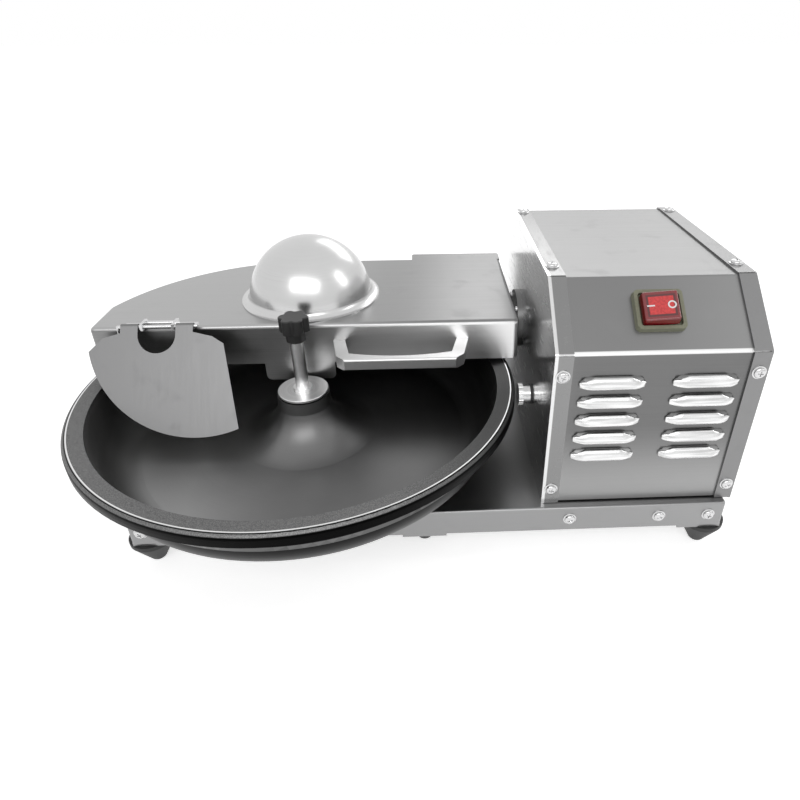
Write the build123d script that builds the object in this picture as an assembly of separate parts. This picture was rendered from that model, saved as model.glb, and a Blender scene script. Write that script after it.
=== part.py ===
"""Bench bowl cutter: a turning bowl, a knife head under a hinged cover, and the drive in a sheet-metal housing.

Sizes are in millimetres. The model is drawn about the bowl's axis, with z = 0 on the bench, +X towards the
drive housing and +Y towards the back. Each piece is moved to the middle of the machine's footprint when it
is written.
"""
import os
from math import asin, atan2, cos, degrees, hypot, radians, sin, sqrt, tan

from build123d import *

# --- Sheet, fits and small common sizes ---------------------------------------------------------
plate = 2.0                # base pan and side plates
sheet = 1.5                # wrap sheet, cover and flap
run_gap = 0.05             # radial clearance of a shaft in its bearing
side_gap = 0.3             # end clearance between a moving and a fixed face
belt_gap = 0.3             # clearance of a belt in its groove
screw_r = 2.5              # M5 screws of the sheet-metal work
screw_head_r = 5.0
screw_head_h = 2.8
washer_r = 6.0
washer_h = 1.0
bolt_r = 3.0               # M6 bolts of the castings

# --- Base -----------------------------------------------------------------------------------------
foot_h = 36.0
foot_top_r = 23.0
foot_tip_r = 8.0
foot_inset = 21.0         # corner foot behind the pan's front edge
middle_foot_inset = 37.5   # middle foot, set further in
middle_foot_x = 128.0
foot_end = 12.0            # corner foot from the end of the pan
foot_rim = 8.0             # from the top of a foot down to the end of its upright band
foot_neck_r = 15.0         # neck between the down-turned lips of the rails
foot_lip_gap = 0.4
stud_depth = 12.0          # stud moulded into the foot
nut_clear_r = 7.0          # notch in the pan's flange round a foot's nut
base_h = 29.9
base_lip = 12.0            # inward flange at the bottom of the pan
base_left = -171.8
base_front = -104.5
rail_w = 46.0              # cross rail that carries two feet
rail_lip = 3.0             # part of the rail's end that shows below the pan
rail_inset = 4.0
base_bottom = foot_h + plate
base_top = base_bottom + base_h

# --- Bowl -----------------------------------------------------------------------------------------
bowl_rim_r = 228.5
bowl_crest_r = 224.0
bowl_mouth_r = 209.5
bowl_crest_z = base_top + 99.1
bowl_wall = 6.0
bowl_floor_z = base_top + 36.1
bowl_corner_r = 34.0       # inside radius between floor and wall
bowl_corner_at_r = 172.0   # radius where the flat floor ends
bowl_lip_drop = 12.0
hub_r = 27.5
hub_top_z = base_top + 84.1
hub_foot_r = 75.0          # radius where the hub's flare meets the floor
flare_top = 14.5           # middle of the flare above the floor, on its upper and lower face
flare_under = 7.5
spindle_nose_r = 15.0

# --- Housing --------------------------------------------------------------------------------------
barrel_len = 146.0         # knife bearing barrel, which sets the width of the housing
belt_room = 54.0           # left for the two belts and the plates
housing_w = barrel_len + belt_room
housing_x = 249.3          # outer face of the left side plate
housing_front = -96.5
housing_front_h = 174.8    # upright part of the front
slope_y = 60.8             # switch panel, run and rise
slope_z = 52.1
top_depth = 227.2
rear_slope_y = 64.2
rear_slope_z = 54.2
flange_w = 17.4
base_overhang = 6.4        # how far the housing stands past the base on the right
base_step = 8.0            # ledge of the base in front of and behind the housing
bend_r = 5.0               # outer radius of the housing's bends
housing_right = housing_x + housing_w
housing_back = housing_front + slope_y + top_depth + rear_slope_y
housing_top = base_top + housing_front_h + slope_z
front_top_z = base_top + housing_front_h
slope_len = hypot(slope_y, slope_z)
base_right = housing_right - base_overhang
base_back = housing_back + base_step

# --- Louvres ----------------------------------------------------------------------------------------
louvre_w = 62.0
louvre_h = 10.3
louvre_out = 5.0
louvre_end = 13.5          # length over which each end runs out into the panel
louvre_pitch = 20.6
louvre_rows = 5
louvre_from_mid = 44.0
louvre_top_z = base_top + 140.7   # lower edge of the top row

# --- Switch -----------------------------------------------------------------------------------------
switch_w = 47.0
switch_l = 41.0
switch_up = 42.5           # centre, measured up the sloping panel
switch_rim = 4.0
rocker_tilt = 8.0

# --- Knife ------------------------------------------------------------------------------------------
knife_y = 112.0
knife_shaft_r = 11.0
rim_shaft_gap = 4.0        # between the bowl's rim and the shaft that crosses it
knife_floor_gap = 4.0      # between knife tip and bowl floor
knife_pitch = 16.0
knife_count = 3
knife_t = 3.0
knife_bore_r = 18.0        # spacer radius
knife_bevel = 9.0
knife_land = 0.4           # thickness left at the cutting edge
knife_z = bowl_crest_z + rim_shaft_gap + knife_shaft_r
knife_r = knife_z - bowl_floor_z - knife_floor_gap

# --- Cover ------------------------------------------------------------------------------------------
cover_rim_gap = 4.0        # cover skirt over the bowl's rim
cover_skirt = 47.0
cover_front = 30.0
cover_left = -224.0
cover_right = 237.0
cover_edge_r = 4.5
cover_arc_r = 212.0        # round back of the cover
cover_arc_x = -24.0
cover_arc_y = 16.0
leaf_x0 = 118.0            # rear extension that carries the hinge
leaf_back = 246.0
tab_x0 = -45.0             # centre tab that shields the hub
tab_x1 = 32.0
tab_drop = 21.0
dome_r = 70.5
dome_foot_r = 79.5
cover_bottom = bowl_crest_z + cover_rim_gap
cover_top = cover_bottom + cover_skirt

# --- Cover hinge --------------------------------------------------------------------------------------
hinge_y = 244.0
hinge_pin_r = 4.0
hinge_knuckle_r = 6.0
hinge_under = 8.0          # pin axis below the cover's top face
post_x0 = 128.0
post_x1 = 230.0
post_cheek = 4.0
post_web_y = 258.0         # front face of the post's web, behind the cover's swing
post_head_r = 5.6
post_sheet = 3.0
post_drop = 18.0           # the web ends this far below the pin
post_neck = 4.0            # the cheeks narrow from here down to the web
hinge_z = cover_top - hinge_under

# --- Handle -------------------------------------------------------------------------------------------
handle_x0 = 33.0
handle_x1 = 181.0
handle_out = 45.0
handle_bar = 9.5
handle_h = 13.0
handle_top_drop = 20.0     # below the cover's top face

# --- Flap ---------------------------------------------------------------------------------------------
flap_tilt = 36.0
flap_pin_r = 2.0
flap_arc_r = 115.0
flap_arc_x = -105.0
flap_arc_s = 3.0           # arc centre, measured down the flap from the pin
flap_corner_x = -62.6
flap_shoulder_x = -79.0
flap_shoulder_s = 20.0
flap_ear_s = 12.0
flap_notch_x = -148.5
flap_notch_r = 19.5
flap_tab_w = 18.0
flap_pin_y = cover_front - 4.0
flap_pin_z = cover_top + 3.0
flap_fold = 9.0            # depth of the clamping tongues on the cover
flap_ear_half = 3.4        # half height of the bracket's ears at the wire

# --- Bowl lock ----------------------------------------------------------------------------------------
lock_disc_r = 27.0
lock_disc_h = 3.0
lock_rod_r = 7.0
lock_rod_top = hub_top_z + 62.5
knob_neck_r = 10.0
knob_neck_h = 11.5
knob_r = 15.5
knob_h = 16.0
knob_lobes = 6

# --- Bowl drive ---------------------------------------------------------------------------------------
spindle_r = 12.5
turret_r = 46.0
spigot_r = 36.0
wheel_teeth = 50
tooth_module = 1.25
wheel_h = 10.0
worm_z = base_bottom + 18.0
worm_pitch_r = 7.75
worm_shaft_r = 5.0
worm_len = 34.0
case_wall = 8.0
case_half = 44.0
worm_bearing_r = 9.5
worm_bearing_w = 5.0
wheel_pitch_r = wheel_teeth * tooth_module / 2
worm_y = wheel_pitch_r + worm_pitch_r

# --- Belts and pulleys ----------------------------------------------------------------------------------
belt_w = 8.0
belt_t = 5.0
pulley_rim = 4.0           # rim above the belt's inner face
pulley_w = 12.0
belt_plane_gap = 13.0      # between the two belts
knife_pulley_r = 20.0
motor_pulley_r = 40.0
motor_small_r = 9.6
worm_pulley_r = 12.0
pulley_clear = 9.0         # from the right side plate to the outer pulley

# --- Motor ----------------------------------------------------------------------------------------------
motor_y = 20.0
motor_z = base_top + 72.1
motor_r = 60.0
fin_h = 5.0
fin_count = 28
stator_out_r = 54.0
stator_in_r = 36.0
rotor_r = 35.5
motor_shaft_r = 7.5
motor_bearing_r = 20.0
bearing_w = 12.0
shell_x0 = 302.0
shell_len = 94.0
shield_w = 14.0
cowl_len = 34.0
fan_r = 46.0

# --- Knife bearings ---------------------------------------------------------------------------------------
journal_r = 12.5
knife_bearing_r = 26.0
knife_bearing_w = 15.0
barrel_r = 33.0
barrel_x0 = 254.0
seal_r = 35.0
seal_t = 6.0
seal_screw_at = 30.5

# --- Fitting, gland and capacitor ---------------------------------------------------------------------------
fitting_y = -2.0
fitting_z = base_top + 75.1
fitting_r = 12.0
fitting_len = 15.0
gland_x = 300.0
gland_z = base_top + 28.1
gland_bore_r = 4.0
gland_out = 18.0
capacitor_r = 20.0
capacitor_len = 84.0

# --- Frame of the written model -------------------------------------------------------------------------------
middle_x = (housing_right - bowl_rim_r) / 2
middle_y = (housing_back + gland_out - bowl_rim_r) / 2

housing_mid_x = housing_x + housing_w / 2
belt_b_x = housing_right - plate - pulley_clear - pulley_w / 2
belt_a_x = belt_b_x - belt_plane_gap


# --- Common shapes ----------------------------------------------------------------------------------------------
def turned(points):
    """Solid of revolution about Z from (radius, height) corners."""
    outline = Polyline(*[(r, 0, z) for r, z in points], close=True)
    return revolve(make_face(outline), Axis.Z)


def rod_x(x0, x1, y, z, r):
    """Round bar along X."""
    return Pos((x0 + x1) / 2, y, z) * Rot(0, 90, 0) * Cylinder(r, x1 - x0)


def ring_x(x0, x1, y, z, r, bore):
    """Round bar along X with a through bore."""
    return rod_x(x0, x1, y, z, r) - rod_x(x0 - 1, x1 + 1, y, z, bore)


def rod_z(x, y, z0, z1, r):
    """Round bar along Z."""
    return Pos(x, y, (z0 + z1) / 2) * Cylinder(r, z1 - z0)


def ring_z(x, y, z0, z1, r, bore):
    """Round bar along Z with a through bore."""
    return rod_z(x, y, z0, z1, r) - rod_z(x, y, z0 - 1, z1 + 1, bore)


def block(x0, x1, y0, y1, z0, z1):
    """Box between two corners."""
    return Pos((x0 + x1) / 2, (y0 + y1) / 2, (z0 + z1) / 2) * Box(x1 - x0, y1 - y0, z1 - z0)


def prism_x(points, x0, x1):
    """Extrusion along X of (y, z) corners."""
    outline = Polyline(*[(x0, y, z) for y, z in points], close=True)
    return extrude(make_face(outline), amount=x1 - x0, dir=(1, 0, 0))


def prism_z(points, z0, z1):
    """Extrusion along Z of (x, y) corners."""
    outline = Polyline(*[(x, y, z0) for x, y in points], close=True)
    return extrude(make_face(outline), amount=z1 - z0, dir=(0, 0, 1))


def pan_screw(length):
    """Pan-head screw with washer, seat at z = 0, shank downwards."""
    head = Pos(0, 0, washer_h + screw_head_h / 2) * Cylinder(screw_head_r, screw_head_h)
    head = fillet(head.edges().group_by(Axis.Z)[-1], screw_head_h * 0.6)
    slot = Pos(0, 0, washer_h + screw_head_h)
    for turn in (0, 90):
        head -= slot * Rot(0, 0, turn) * Box(screw_head_r, 1.2, 2.2)
    washer = Pos(0, 0, washer_h / 2) * Cylinder(washer_r, washer_h)
    shank = Pos(0, 0, -length / 2) * Cylinder(screw_r, length)
    return head + washer + shank


def hex_bolt(length, r):
    """Hexagon bolt, seat at z = 0, shank downwards."""
    head = extrude(RegularPolygon(r * 1.9, 6), amount=r * 1.3)
    return head + Pos(0, 0, -length / 2) * Cylinder(r, length)


def bearing(width, outer, inner, mid_recess=0.6):
    """Shielded ball bearing centred on the origin, axis along Z."""
    body = Cylinder(outer, width) - Cylinder(inner, width + 2)
    face = (outer - inner) * 0.28
    for side in (-1, 1):
        groove = Cylinder(outer - face, mid_recess * 2) - Cylinder(inner + face, mid_recess * 3)
        body -= Pos(0, 0, side * width / 2) * groove
    return body


def bearing_x(x0, y, z, width, outer, inner):
    """Ball bearing on an axis along X, left face at x0."""
    return Pos(x0 + width / 2, y, z) * Rot(0, 90, 0) * bearing(width, outer, inner)


def pulley(plane_x, y, z, belt_r, bore, width=pulley_w):
    """V-belt pulley with one groove, belt's inner face at belt_r."""
    rim = belt_r + pulley_rim
    half = width / 2
    floor = belt_r - belt_gap
    top_half = belt_w / 2 + belt_gap
    points = [(bore, -half), (rim, -half), (rim, -top_half), (floor, -belt_w / 2 - belt_gap / 2),
              (floor, belt_w / 2 + belt_gap / 2), (rim, top_half), (rim, half), (bore, half)]
    return Pos(plane_x, y, z) * Rot(0, 90, 0) * turned(points)


def belt(plane_x, y_a, z_a, r_a, y_b, z_b, r_b):
    """Belt round two pulleys, lying in the plane x = plane_x."""
    loops = []
    for grow in (0, belt_t):
        circles = [Pos(plane_x - belt_w / 2, y, z) * Rot(0, 90, 0) * Circle(r + grow)
                   for y, z, r in ((y_a, z_a, r_a), (y_b, z_b, r_b))]
        dist = hypot(y_b - y_a, z_b - z_a)
        lean = asin((r_a - r_b) / dist)
        aim = atan2(z_b - z_a, y_b - y_a)
        corners = []
        for side in (1, -1):
            out = aim + side * (radians(90) - lean)
            pair = [(y_a + (r_a + grow) * cos(out), z_a + (r_a + grow) * sin(out)),
                    (y_b + (r_b + grow) * cos(out), z_b + (r_b + grow) * sin(out))]
            corners += pair if side == 1 else pair[::-1]
        straight = prism_x(corners, plane_x - belt_w / 2, plane_x + belt_w / 2)
        loop = straight
        for circle in circles:
            loop += extrude(circle, amount=belt_w, dir=(1, 0, 0))
        loops.append(loop)
    return loops[1] - loops[0]


# --- Base -----------------------------------------------------------------------------------------------------------
foot_x = (base_left + foot_end, middle_foot_x, base_right - foot_end)
rail_x = (base_left + rail_w / 2, middle_foot_x, base_right - rail_w / 2)
foot_spots = [(x, y, rail) for x, rail, inset in zip(foot_x, rail_x, (foot_inset, middle_foot_inset, foot_inset))
              for y in (base_front + inset, base_back - inset)]
base_screw_z = base_top - 14.5
base_screw_x = (base_left + 13.2, housing_x + 29.7, housing_x + 123.7, base_right - 17.5)
spigot_clear = 0.2
slot_y = (-14.0, 60.0)     # belt slot through the pan
slot_half = 7.5


def base_pan():
    """Folded pan with an inward flange all round and cut-outs for the drives."""
    pan = block(base_left, base_right, base_front, base_back, base_bottom, base_top)
    pan = fillet(pan.edges().filter_by(Axis.Z), 4)
    pan = fillet(pan.faces().sort_by(Axis.Z)[-1].edges(), 2.5)
    inner = block(base_left + plate, base_right - plate, base_front + plate, base_back - plate,
                  base_bottom + plate, base_top - plate)
    mouth = block(base_left + base_lip, base_right - base_lip, base_front + base_lip, base_back - base_lip,
                  base_bottom - 1, base_top - plate)
    pan -= inner + mouth
    pan -= rod_z(0, 0, base_top - plate - 1, base_top + 1, spigot_r + spigot_clear)
    pan -= block(belt_b_x - slot_half, belt_b_x + slot_half, slot_y[0] + worm_y - 20, slot_y[1] + 1,
                 base_top - plate - 1, base_top + 1)
    pan -= block(belt_b_x - slot_half, base_right - plate, slot_y[0] + worm_y - 20, slot_y[1] + 1,
                 base_bottom - 1, base_bottom + plate + 1)
    for x in base_screw_x:
        for y in (base_front, base_back):
            pan -= Pos(x, y, base_screw_z) * Rot(90, 0, 0) * Cylinder(screw_r, 4 * plate)
    for x, y, _ in foot_spots:
        pan -= rod_z(x, y, base_bottom - 1, base_bottom + plate + 1, nut_clear_r)
    return pan


def foot_rails():
    """Three cross rails under the pan, each with a small down-turned lip at both ends."""
    rails = []
    for x in rail_x:
        y0, y1 = base_front + rail_inset / 2, base_back - rail_inset / 2
        rail = block(x - rail_w / 2, x + rail_w / 2, y0, y1, foot_h, base_bottom)
        for y in (y0, y1 - plate):
            rail += block(x - rail_w / 2, x + rail_w / 2, y, y + plate, foot_h - rail_lip, foot_h)
        for at_x, at_y, rail_at in foot_spots:
            if rail_at == x:
                rail -= rod_z(at_x, at_y, foot_h - 1, base_bottom + 1, bolt_r)
        rails.append(rail)
    return Compound(rails)


def rubber_feet():
    """Conical rubber feet with a moulded-in stud seat."""
    feet = []
    shoulder_z = foot_h - rail_lip - foot_lip_gap
    foot = turned([(0, 0), (foot_tip_r - 1.5, 0), (foot_tip_r, 1.5), (foot_top_r, foot_h - foot_rim),
                   (foot_top_r, shoulder_z), (foot_neck_r, shoulder_z), (foot_neck_r, foot_h), (bolt_r, foot_h),
                   (bolt_r, foot_h - stud_depth), (0, foot_h - stud_depth)])
    for x, y, _ in foot_spots:
        feet.append(Pos(x, y, 0) * foot)
    return Compound(feet)


def foot_studs():
    """Stud and nut of each foot."""
    studs = []
    for x, y, _ in foot_spots:
        stud = rod_z(x, y, foot_h - stud_depth, base_bottom + 8, bolt_r)
        stud += Pos(x, y, base_bottom) * extrude(RegularPolygon(bolt_r * 1.9, 6), amount=5)
        studs.append(stud)
    return Compound(studs)


def base_screws():
    """Screws through the front and back walls of the pan."""
    screws = []
    for x in base_screw_x:
        screws.append(Pos(x, base_front, base_screw_z) * Rot(90, 0, 0) * pan_screw(8))
        screws.append(Pos(x, base_back, base_screw_z) * Rot(-90, 0, 0) * pan_screw(8))
    return Compound(screws)


# --- Housing --------------------------------------------------------------------------------------------------------
def housing_outline(inset=0.0):
    """Corners (y, z) of the housing's side, moved inwards by inset except at the bottom."""
    lean_front = tan(atan2(slope_z, slope_y) / 2)
    lean_rear = tan(atan2(rear_slope_z, rear_slope_y) / 2)
    front_drop = inset * tan((radians(90) - atan2(slope_z, slope_y)) / 2)
    rear_drop = inset * tan((radians(90) - atan2(rear_slope_z, rear_slope_y)) / 2)
    return [(housing_front + inset, base_top),
            (housing_front + inset, front_top_z - front_drop),
            (housing_front + slope_y + inset * lean_front, housing_top - inset),
            (housing_back - rear_slope_y - inset * lean_rear, housing_top - inset),
            (housing_back - inset, housing_top - rear_slope_z - rear_drop),
            (housing_back - inset, base_top)]


def housing_form(inset, x0, x1):
    """Solid with the housing's side outline between two planes, its four bends rounded."""
    outline = make_face(Polyline(*[(x0, y, z) for y, z in housing_outline(inset)], close=True))
    bends = [corner for corner in outline.vertices() if corner.Z > base_top + 1]
    return extrude(fillet(bends, bend_r - inset), amount=x1 - x0, dir=(1, 0, 0))


flange_screw_y = (housing_front + slope_y + 25.0, housing_back - rear_slope_y - 16.0)
flange_screw_z = (base_top + 19.6, front_top_z - 21.8)
mitre = 0.8                # open joint between the folded flanges


def flange_places():
    """Each flange screw: position, and the turn that points its head outwards."""
    places = []
    for x in (housing_x + flange_w / 2, housing_right - flange_w / 2):
        places += [(x, housing_front, z, 90) for z in flange_screw_z]
        places += [(x, y, housing_top, 0) for y in flange_screw_y]
        places += [(x, housing_back, z, -90) for z in (flange_screw_z[0], flange_screw_z[1] - 30)]
    return places


def side_plate(x_out, inward):
    """Side plate with flanges folded inwards along every edge but the bottom, open at the bends."""
    web_x = sorted((x_out, x_out + inward * plate))
    rim_x = sorted((x_out, x_out + inward * flange_w))
    open_x = sorted((x_out + inward * plate, x_out + inward * (flange_w + 1)))
    web = housing_form(0, *web_x)
    rim = housing_form(0, *rim_x) - housing_form(plate, rim_x[0] - 1, rim_x[1] + 1)
    rim -= block(rim_x[0] - 1, rim_x[1] + 1, housing_front - 1, housing_back + 1, base_top - 1, base_top + 0.5)
    front_lean, rear_lean = degrees(atan2(slope_z, slope_y)), degrees(atan2(rear_slope_z, rear_slope_y))
    mitre_turns = ((front_lean + 90) / 2, front_lean / 2, -rear_lean / 2, -(rear_lean + 90) / 2)
    for (y, z), turn in zip(housing_outline()[1:5], mitre_turns):
        rim -= Pos(0, y, z) * Rot(turn, 0, 0) * block(*open_x, -mitre / 2, mitre / 2, -9, 9)
    body = web + rim
    for x, y, z, turn in flange_places():
        if abs(x - x_out) < flange_w:
            body -= Pos(x, y, z) * Rot(turn, 0, 0) * Cylinder(screw_r, 4 * plate)
    return body


def side_plate_left():
    """Polished plate beside the bowl, bored for the knife shaft."""
    body = side_plate(housing_x, 1)
    body -= rod_x(housing_x - 1, housing_x + plate + 1, knife_y, knife_z, journal_r + 4)
    body -= rod_x(housing_x - 1, housing_x + plate + 1, fitting_y, fitting_z, bolt_r)
    for turn in (45, 135, 225, 315):
        y = knife_y + seal_screw_at * cos(radians(turn))
        z = knife_z + seal_screw_at * sin(radians(turn))
        body -= rod_x(housing_x - 1, housing_x + plate + 1, y, z, 2.0)
    return body


def louvre_section(depth, height):
    """Hood of one louvre in side view: bulging out towards its open lower edge."""
    foot = Line((0, 0), (depth, 0))
    bulge = ThreePointArc((depth, 0), (depth * 0.72, height * 0.62), (0, height))
    back = Line((0, height), (0, 0))
    return make_face(foot + bulge + back)


def louvre_solid(inset):
    """Outer or inner form of a louvre hood, lower edge on z = 0, bulging towards -Y, its ends drawn in."""
    width, height, depth = louvre_w - 2 * inset, louvre_h - inset, louvre_out - inset
    side = Plane(origin=(-width / 2, 0, 0), x_dir=(0, -1, 0), z_dir=(-1, 0, 0)) * louvre_section(depth, height)
    bar = extrude(side, amount=width, dir=(1, 0, 0))
    front = Pos(0, height / 2) * Rectangle(width, height)
    front = fillet(front.vertices().group_by(Axis.Y)[-1], height * 0.75)
    half, full = width / 2, width / 2 - louvre_end
    plan = [Line((-half, 1), (half, 1)), Line((half, 1), (half, 0)),
            ThreePointArc((half, 0), (half - louvre_end * 0.45, -depth * 0.74), (full, -depth)),
            Line((full, -depth), (-full, -depth)),
            ThreePointArc((-full, -depth), (-half + louvre_end * 0.45, -depth * 0.74), (-half, 0)),
            Line((-half, 0), (-half, 1))]
    above = extrude(make_face(Curve(plan)), amount=height + 1)
    return bar & Pos(0, 1, 0) * extrude(Plane.XZ * front, amount=louvre_out + 2) & above


def housing_wrap():
    """One sheet bent over front, switch panel, top and rear, with two columns of pressed louvres."""
    edge = 0.2
    x0, x1 = housing_x + plate + edge, housing_right - plate - edge
    wrap = housing_form(plate, x0, x1) - housing_form(plate + sheet, x0 - 1, x1 + 1)
    wrap -= block(x0 - 1, x1 + 1, housing_front, housing_back, base_top - 1, base_top + 0.3)
    skin_y = housing_front + plate
    hood, hollow = louvre_solid(0), louvre_solid(sheet * 0.8)
    window = Pos(0, sheet / 2 + 0.5, (louvre_h - sheet) / 2) * Box(louvre_w - 12, sheet + 1.4, louvre_h - sheet * 2)
    for column in (-1, 1):
        for row in range(louvre_rows):
            place = Pos(housing_mid_x + column * louvre_from_mid, skin_y, louvre_top_z - row * louvre_pitch)
            wrap += place * hood
            wrap -= place * Pos(0, 0, -0.01) * hollow
            wrap -= place * window
    wrap -= slope_place() * Box(switch_w - 2 * switch_rim - 6, switch_l - 2 * switch_rim - 6, 12)
    for x, y, z, turn in flange_places():
        wrap -= Pos(x, y, z) * Rot(turn, 0, 0) * Cylinder(screw_r, 8 * plate)
    wrap -= Pos(gland_x, housing_back, gland_z) * Rot(90, 0, 0) * Cylinder(8, 8 * plate)
    return wrap


def housing_screws():
    """Pan-head screws through the side plates' flanges."""
    return Compound([Pos(x, y, z) * Rot(turn, 0, 0) * pan_screw(9) for x, y, z, turn in flange_places()])


# --- Switch ---------------------------------------------------------------------------------------------------------
def slope_place(lift=0.0):
    """Place on the switch panel's skin: local X along +X, local Y up the slope, Z outwards."""
    lean = atan2(slope_z, slope_y)
    y = housing_front + switch_up * cos(lean) + (plate - lift) * sin(lean)
    z = front_top_z + switch_up * sin(lean) - (plate - lift) * cos(lean)
    return Pos(housing_mid_x, y, z) * Rot(degrees(lean), 0, 0)


def switch_frame():
    """Switch body behind the panel with its rectangular rim in front."""
    rim = extrude(RectangleRounded(switch_w, switch_l, 5), amount=6, taper=6)
    rim -= Pos(0, 0, -1) * extrude(RectangleRounded(switch_w - 2 * switch_rim, switch_l - 2 * switch_rim, 3), amount=9)
    seat = Pos(0, 0, -14) * Box(switch_w - 2 * switch_rim - 7, switch_l - 2 * switch_rim - 7, 28)
    well = Pos(0, 0, -3) * Box(switch_w - 2 * switch_rim - 10, switch_l - 2 * switch_rim - 10, 14)
    floor = Pos(0, 0, 0.5) * (Box(switch_w - 2 * switch_rim + 1, switch_l - 2 * switch_rim + 1, 1))
    body = rim + seat + floor - well
    for x in (-8, 8):
        body += Pos(x, 0, -32) * Box(0.8, 6.3, 8.5)
    return slope_place() * body


def rocker():
    """Rocker cap, tilted so that its left end is pressed in."""
    w, l = switch_w - 2 * switch_rim - 5, switch_l - 2 * switch_rim - 2
    cap = Pos(0, 0, 4.5) * extrude(RectangleRounded(w, l, 3), amount=9.5, taper=8)
    cap = fillet(cap.edges().group_by(Axis.Z)[-1], 1.5)
    cap += Pos(0, 0, 2) * Rot(90, 0, 0) * Cylinder(4, switch_l - 2 * switch_rim - 11)
    cap += Pos(0, 0, 4) * Box(10, switch_l - 2 * switch_rim - 11, 4)
    return slope_place() * Pos(0, 0, 2) * Rot(0, -rocker_tilt, 0) * Pos(0, 0, -2) * cap


# --- Bowl -----------------------------------------------------------------------------------------------------------
def bowl():
    """Cast bowl with a flared hub, a flat floor, a round corner and a turned-down rim."""
    under = bowl_floor_z - bowl_wall
    wall_r = bowl_corner_at_r + bowl_corner_r
    corner_z = bowl_floor_z + bowl_corner_r
    rim_z = bowl_crest_z - 2
    lip_bottom = bowl_crest_z - bowl_lip_drop
    lip_wall = bowl_rim_r - bowl_crest_r + 1.5
    bend = sqrt(0.5)
    outer_corner = bowl_corner_r + bowl_wall
    edges = [
        Line((spindle_nose_r + side_gap, hub_top_z), (hub_r, hub_top_z)),
        Line((hub_r, hub_top_z), (hub_r + 1.5, hub_top_z - 13)),
        ThreePointArc((hub_r + 1.5, hub_top_z - 13), (41.0, bowl_floor_z + flare_top), (hub_foot_r, bowl_floor_z)),
        Line((hub_foot_r, bowl_floor_z), (bowl_corner_at_r, bowl_floor_z)),
        ThreePointArc((bowl_corner_at_r, bowl_floor_z),
                      (bowl_corner_at_r + bowl_corner_r * bend, corner_z - bowl_corner_r * bend),
                      (wall_r, corner_z)),
        Line((wall_r, corner_z), (bowl_mouth_r, rim_z)),
        Line((bowl_mouth_r, rim_z), (bowl_crest_r, bowl_crest_z)),
        ThreePointArc((bowl_crest_r, bowl_crest_z), (bowl_rim_r - 1.3, bowl_crest_z - 1.6),
                      (bowl_rim_r, bowl_crest_z - 5)),
        Line((bowl_rim_r, bowl_crest_z - 5), (bowl_rim_r, lip_bottom)),
        Line((bowl_rim_r, lip_bottom), (bowl_rim_r - lip_wall, lip_bottom)),
        Line((bowl_rim_r - lip_wall, lip_bottom), (bowl_rim_r - lip_wall, bowl_crest_z - 6)),
        Line((bowl_rim_r - lip_wall, bowl_crest_z - 6), (bowl_mouth_r + bowl_wall, bowl_crest_z - 8)),
        Line((bowl_mouth_r + bowl_wall, bowl_crest_z - 8), (wall_r + bowl_wall, corner_z)),
        ThreePointArc((wall_r + bowl_wall, corner_z),
                      (bowl_corner_at_r + outer_corner * bend, corner_z - outer_corner * bend),
                      (bowl_corner_at_r, under)),
        Line((bowl_corner_at_r, under), (hub_foot_r - 4, under)),
        ThreePointArc((hub_foot_r - 4, under), (37.0, bowl_floor_z + flare_under), (spindle_nose_r + 7, hub_top_z - 18)),
        Line((spindle_nose_r + 7, hub_top_z - 18), (spindle_nose_r + side_gap, hub_top_z - 18)),
        Line((spindle_nose_r + side_gap, hub_top_z - 18), (spindle_nose_r + side_gap, hub_top_z)),
    ]
    section = make_face(Plane.XZ * Curve(edges))
    return revolve(section, Axis.Z)


def spindle():
    """Bowl spindle: bearing journal, seat flange, cone and threaded nose."""
    seat = bowl_floor_z - bowl_wall
    shoulder = hub_top_z - 18
    return turned([(0, wheel_z0 - 9), (7, wheel_z0 - 9), (7, wheel_z0), (10, wheel_z0), (10, wheel_z0 + wheel_h + 1),
                   (spindle_r, wheel_z0 + wheel_h + 1), (spindle_r, turret_top + 1), (turret_r - 8, turret_top + 2),
                   (turret_r - 8, seat - 2), (30, seat), (24, seat + 4), (20, shoulder), (spindle_nose_r, shoulder),
                   (spindle_nose_r, hub_top_z - 2), (8, hub_top_z), (8, hub_top_z + 1),
                   (6, hub_top_z + 2), (6, hub_top_z + 22), (5, hub_top_z + 23), (0, hub_top_z + 23)])


def lock_disc():
    """Polished clamping disc on top of the hub."""
    z0 = hub_top_z + 1.2
    disc = ring_z(0, 0, z0, z0 + lock_disc_h, lock_disc_r, 8 + side_gap)
    return fillet(disc.edges().filter_by(GeomType.CIRCLE).sort_by(SortBy.LENGTH)[-2:], 0.8)


def lock_rod():
    """Rod with a blind thread that screws on to the spindle's nose."""
    z0 = hub_top_z + 1.2 + lock_disc_h + run_gap
    rod = rod_z(0, 0, z0, lock_rod_top, lock_rod_r)
    rod += rod_z(0, 0, z0, z0 + 3, lock_rod_r + 3)
    rod += rod_z(0, 0, lock_rod_top, lock_rod_top + knob_neck_h, 4)
    return rod - rod_z(0, 0, z0 - 1, hub_top_z + 24, 6 + run_gap)


def star_knob():
    """Moulded knob: a neck under a head with round lobes."""
    z0 = lock_rod_top
    head_z = z0 + knob_neck_h
    lobe_r = knob_r * 0.36
    star = Circle(knob_r * 0.8)
    for k in range(knob_lobes):
        star += Rot(0, 0, 360 / knob_lobes * k) * Pos(knob_r - lobe_r, 0) * Circle(lobe_r)
    star = fillet(star.vertices(), 1.5)
    head = Pos(0, 0, head_z) * extrude(star, amount=knob_h)
    head = chamfer(head.faces().sort_by(Axis.Z)[-1].edges(), 1)
    neck = turned([(0, z0), (knob_neck_r - 1, z0), (knob_neck_r, z0 + 1), (knob_neck_r, head_z), (0, head_z)])
    return head + neck - rod_z(0, 0, z0 - 1, z0 + knob_neck_h, 4)


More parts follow.
